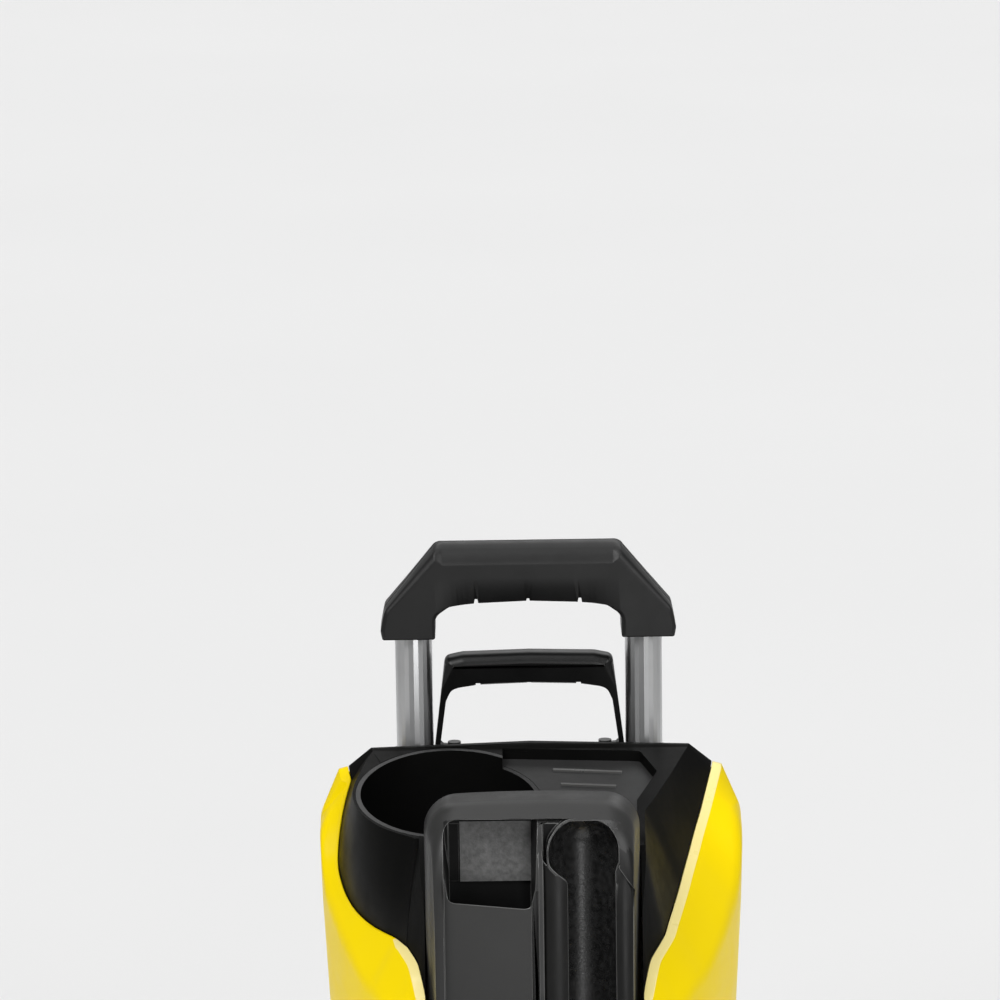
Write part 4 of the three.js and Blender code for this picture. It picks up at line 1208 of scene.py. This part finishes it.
SCREW_SHANK, SCREW_HEAD = 2.3, 4.6
SPLIT = 0.15
for half_name, node_name, y0, y1 in (
    ("grip_front", "grip_front_shell", 80, HANDLE_Y - SPLIT),
    ("grip_rear", "grip_rear_shell", HANDLE_Y + SPLIT, 150),
):
    dress(grip_half(half_name, y0, y1), node_name, (GRIP, PAINTED_EDGE_HIGHLIGHT))

# ---- carry handle ---------------------------------------------------------------------------------

# Right half of the outline, from the middle of the top edge round the foot to the middle below.
BOW = [
    (0, 498.4),
    (48, 497.2),
    (61, 494.5),
    (64, 469),
    (69.3, 426),
    (69.3, 425.3),
    (64, 425.3),
    (62, 422.6),
    (47, 422.6),
    (47, 426.6),
    (63, 428),
    (65, 430),
    (60.6, 462),
    (56.5, 471.2),
    (36, 473.6),
    (0, 474.6),
]
BOW_RADII = [0, 14, 6, 12, 0.3, 0.3, 0.3, 0.3, 0.6, 0.6, 0.5, 1, 6, 9, 9, 0]
bow_ring = fillet(
    [*BOW, *[(-x, z) for x, z in reversed(BOW[1:-1])]],
    [*BOW_RADII, *reversed(BOW_RADII[1:-1])],
    6,
)


BOW_ROUND = 8


def bow_amount(y, z):
    """Rounds the bar, but not the thin legs below it."""
    share = min(1.0, max(0.0, (z - 471.5) / 9))
    return quarter(min(y - BOW_FRONT, BOW_REAR - y), BOW_ROUND) * share


def bow_settle(x, y, z):
    """Makes the legs narrower than the bar."""
    return x, HANDLE_Y + (y - HANDLE_Y) * (0.55 + 0.45 * smooth_step(z, 470, 488)), z


bow_depths = depth_steps(BOW_FRONT, BOW_REAR, BOW_ROUND)
bow = rounded_bar("bow", bow_ring, bow_depths, bow_amount, bow_settle)
for x in (-37, 0, 36):
    nick = [(x - 3, 465), (x - 1.6, 475.6), (x + 1.6, 475.6), (x + 3, 465)]
    cut(bow, prism_y("nick", nick, 80, 150))
for sign in (-1, 1):
    cut(bow, bar_z("screw_hole", sign * 55, HANDLE_Y, 2.8, 410, 440, 32))
dress(bow, "carry_handle", (BOW_PLASTIC, PAINTED_EDGE_HIGHLIGHT))

for leftover in (hull, hull_inside, region, region_left):
    discard(leftover)

# ---- CAD nodes that stay --------------------------------------------------------------------------


def finish_node(name):
    """Gives a CAD node its material, merges its flat facets and rounds its hard edges."""
    node = NODES[name]
    coat(node, [BLACK_STEEL if name.endswith("_screw") else SLOT_MATERIALS[SLOT_OF[name]]])
    merge_facets(node, 1.0)
    round_edges(node, 0.6, 2, 32.0).use_clamp_overlap = True


for node_name in NODES:
    if node_name not in DONE:
        finish_node(node_name)

# ---- floor ----------------------------------------------------------------------------------------

FLOOR_HALF = 1.6
FLOOR_FRONT, FLOOR_BACK = -0.6, 16
FLOOR_GAP = 0.0004  # keeps the feet and the floor from sharing a plane

floor_corners = [
    (-FLOOR_HALF, FLOOR_FRONT, 0),
    (FLOOR_HALF, FLOOR_FRONT, 0),
    (FLOOR_HALF, FLOOR_BACK, 0),
    (-FLOOR_HALF, FLOOR_BACK, 0),
]
floor_mesh = bpy.data.meshes.new("floor")
floor_mesh.from_pydata(floor_corners, [], [(0, 1, 2, 3)])
floor = bpy.data.objects.new("floor", floor_mesh)
floor.location.z = -FLOOR_GAP
scene.collection.objects.link(floor)
paper = Nodes("floor_paper")
paper.shader.inputs["Roughness"].default_value = 0.9
paper.shader.inputs["Specular IOR Level"].default_value = 0.2
tone = paper.spread(paper.noise(0.8, 3.0), 0.0, 1.0)
paper_tone = paper.blend(tone, (0.746, 0.746, 0.746), (0.758, 0.758, 0.758))
paper.set(paper.shader.inputs["Base Color"], paper_tone)
floor_mesh.materials.append(paper.material)
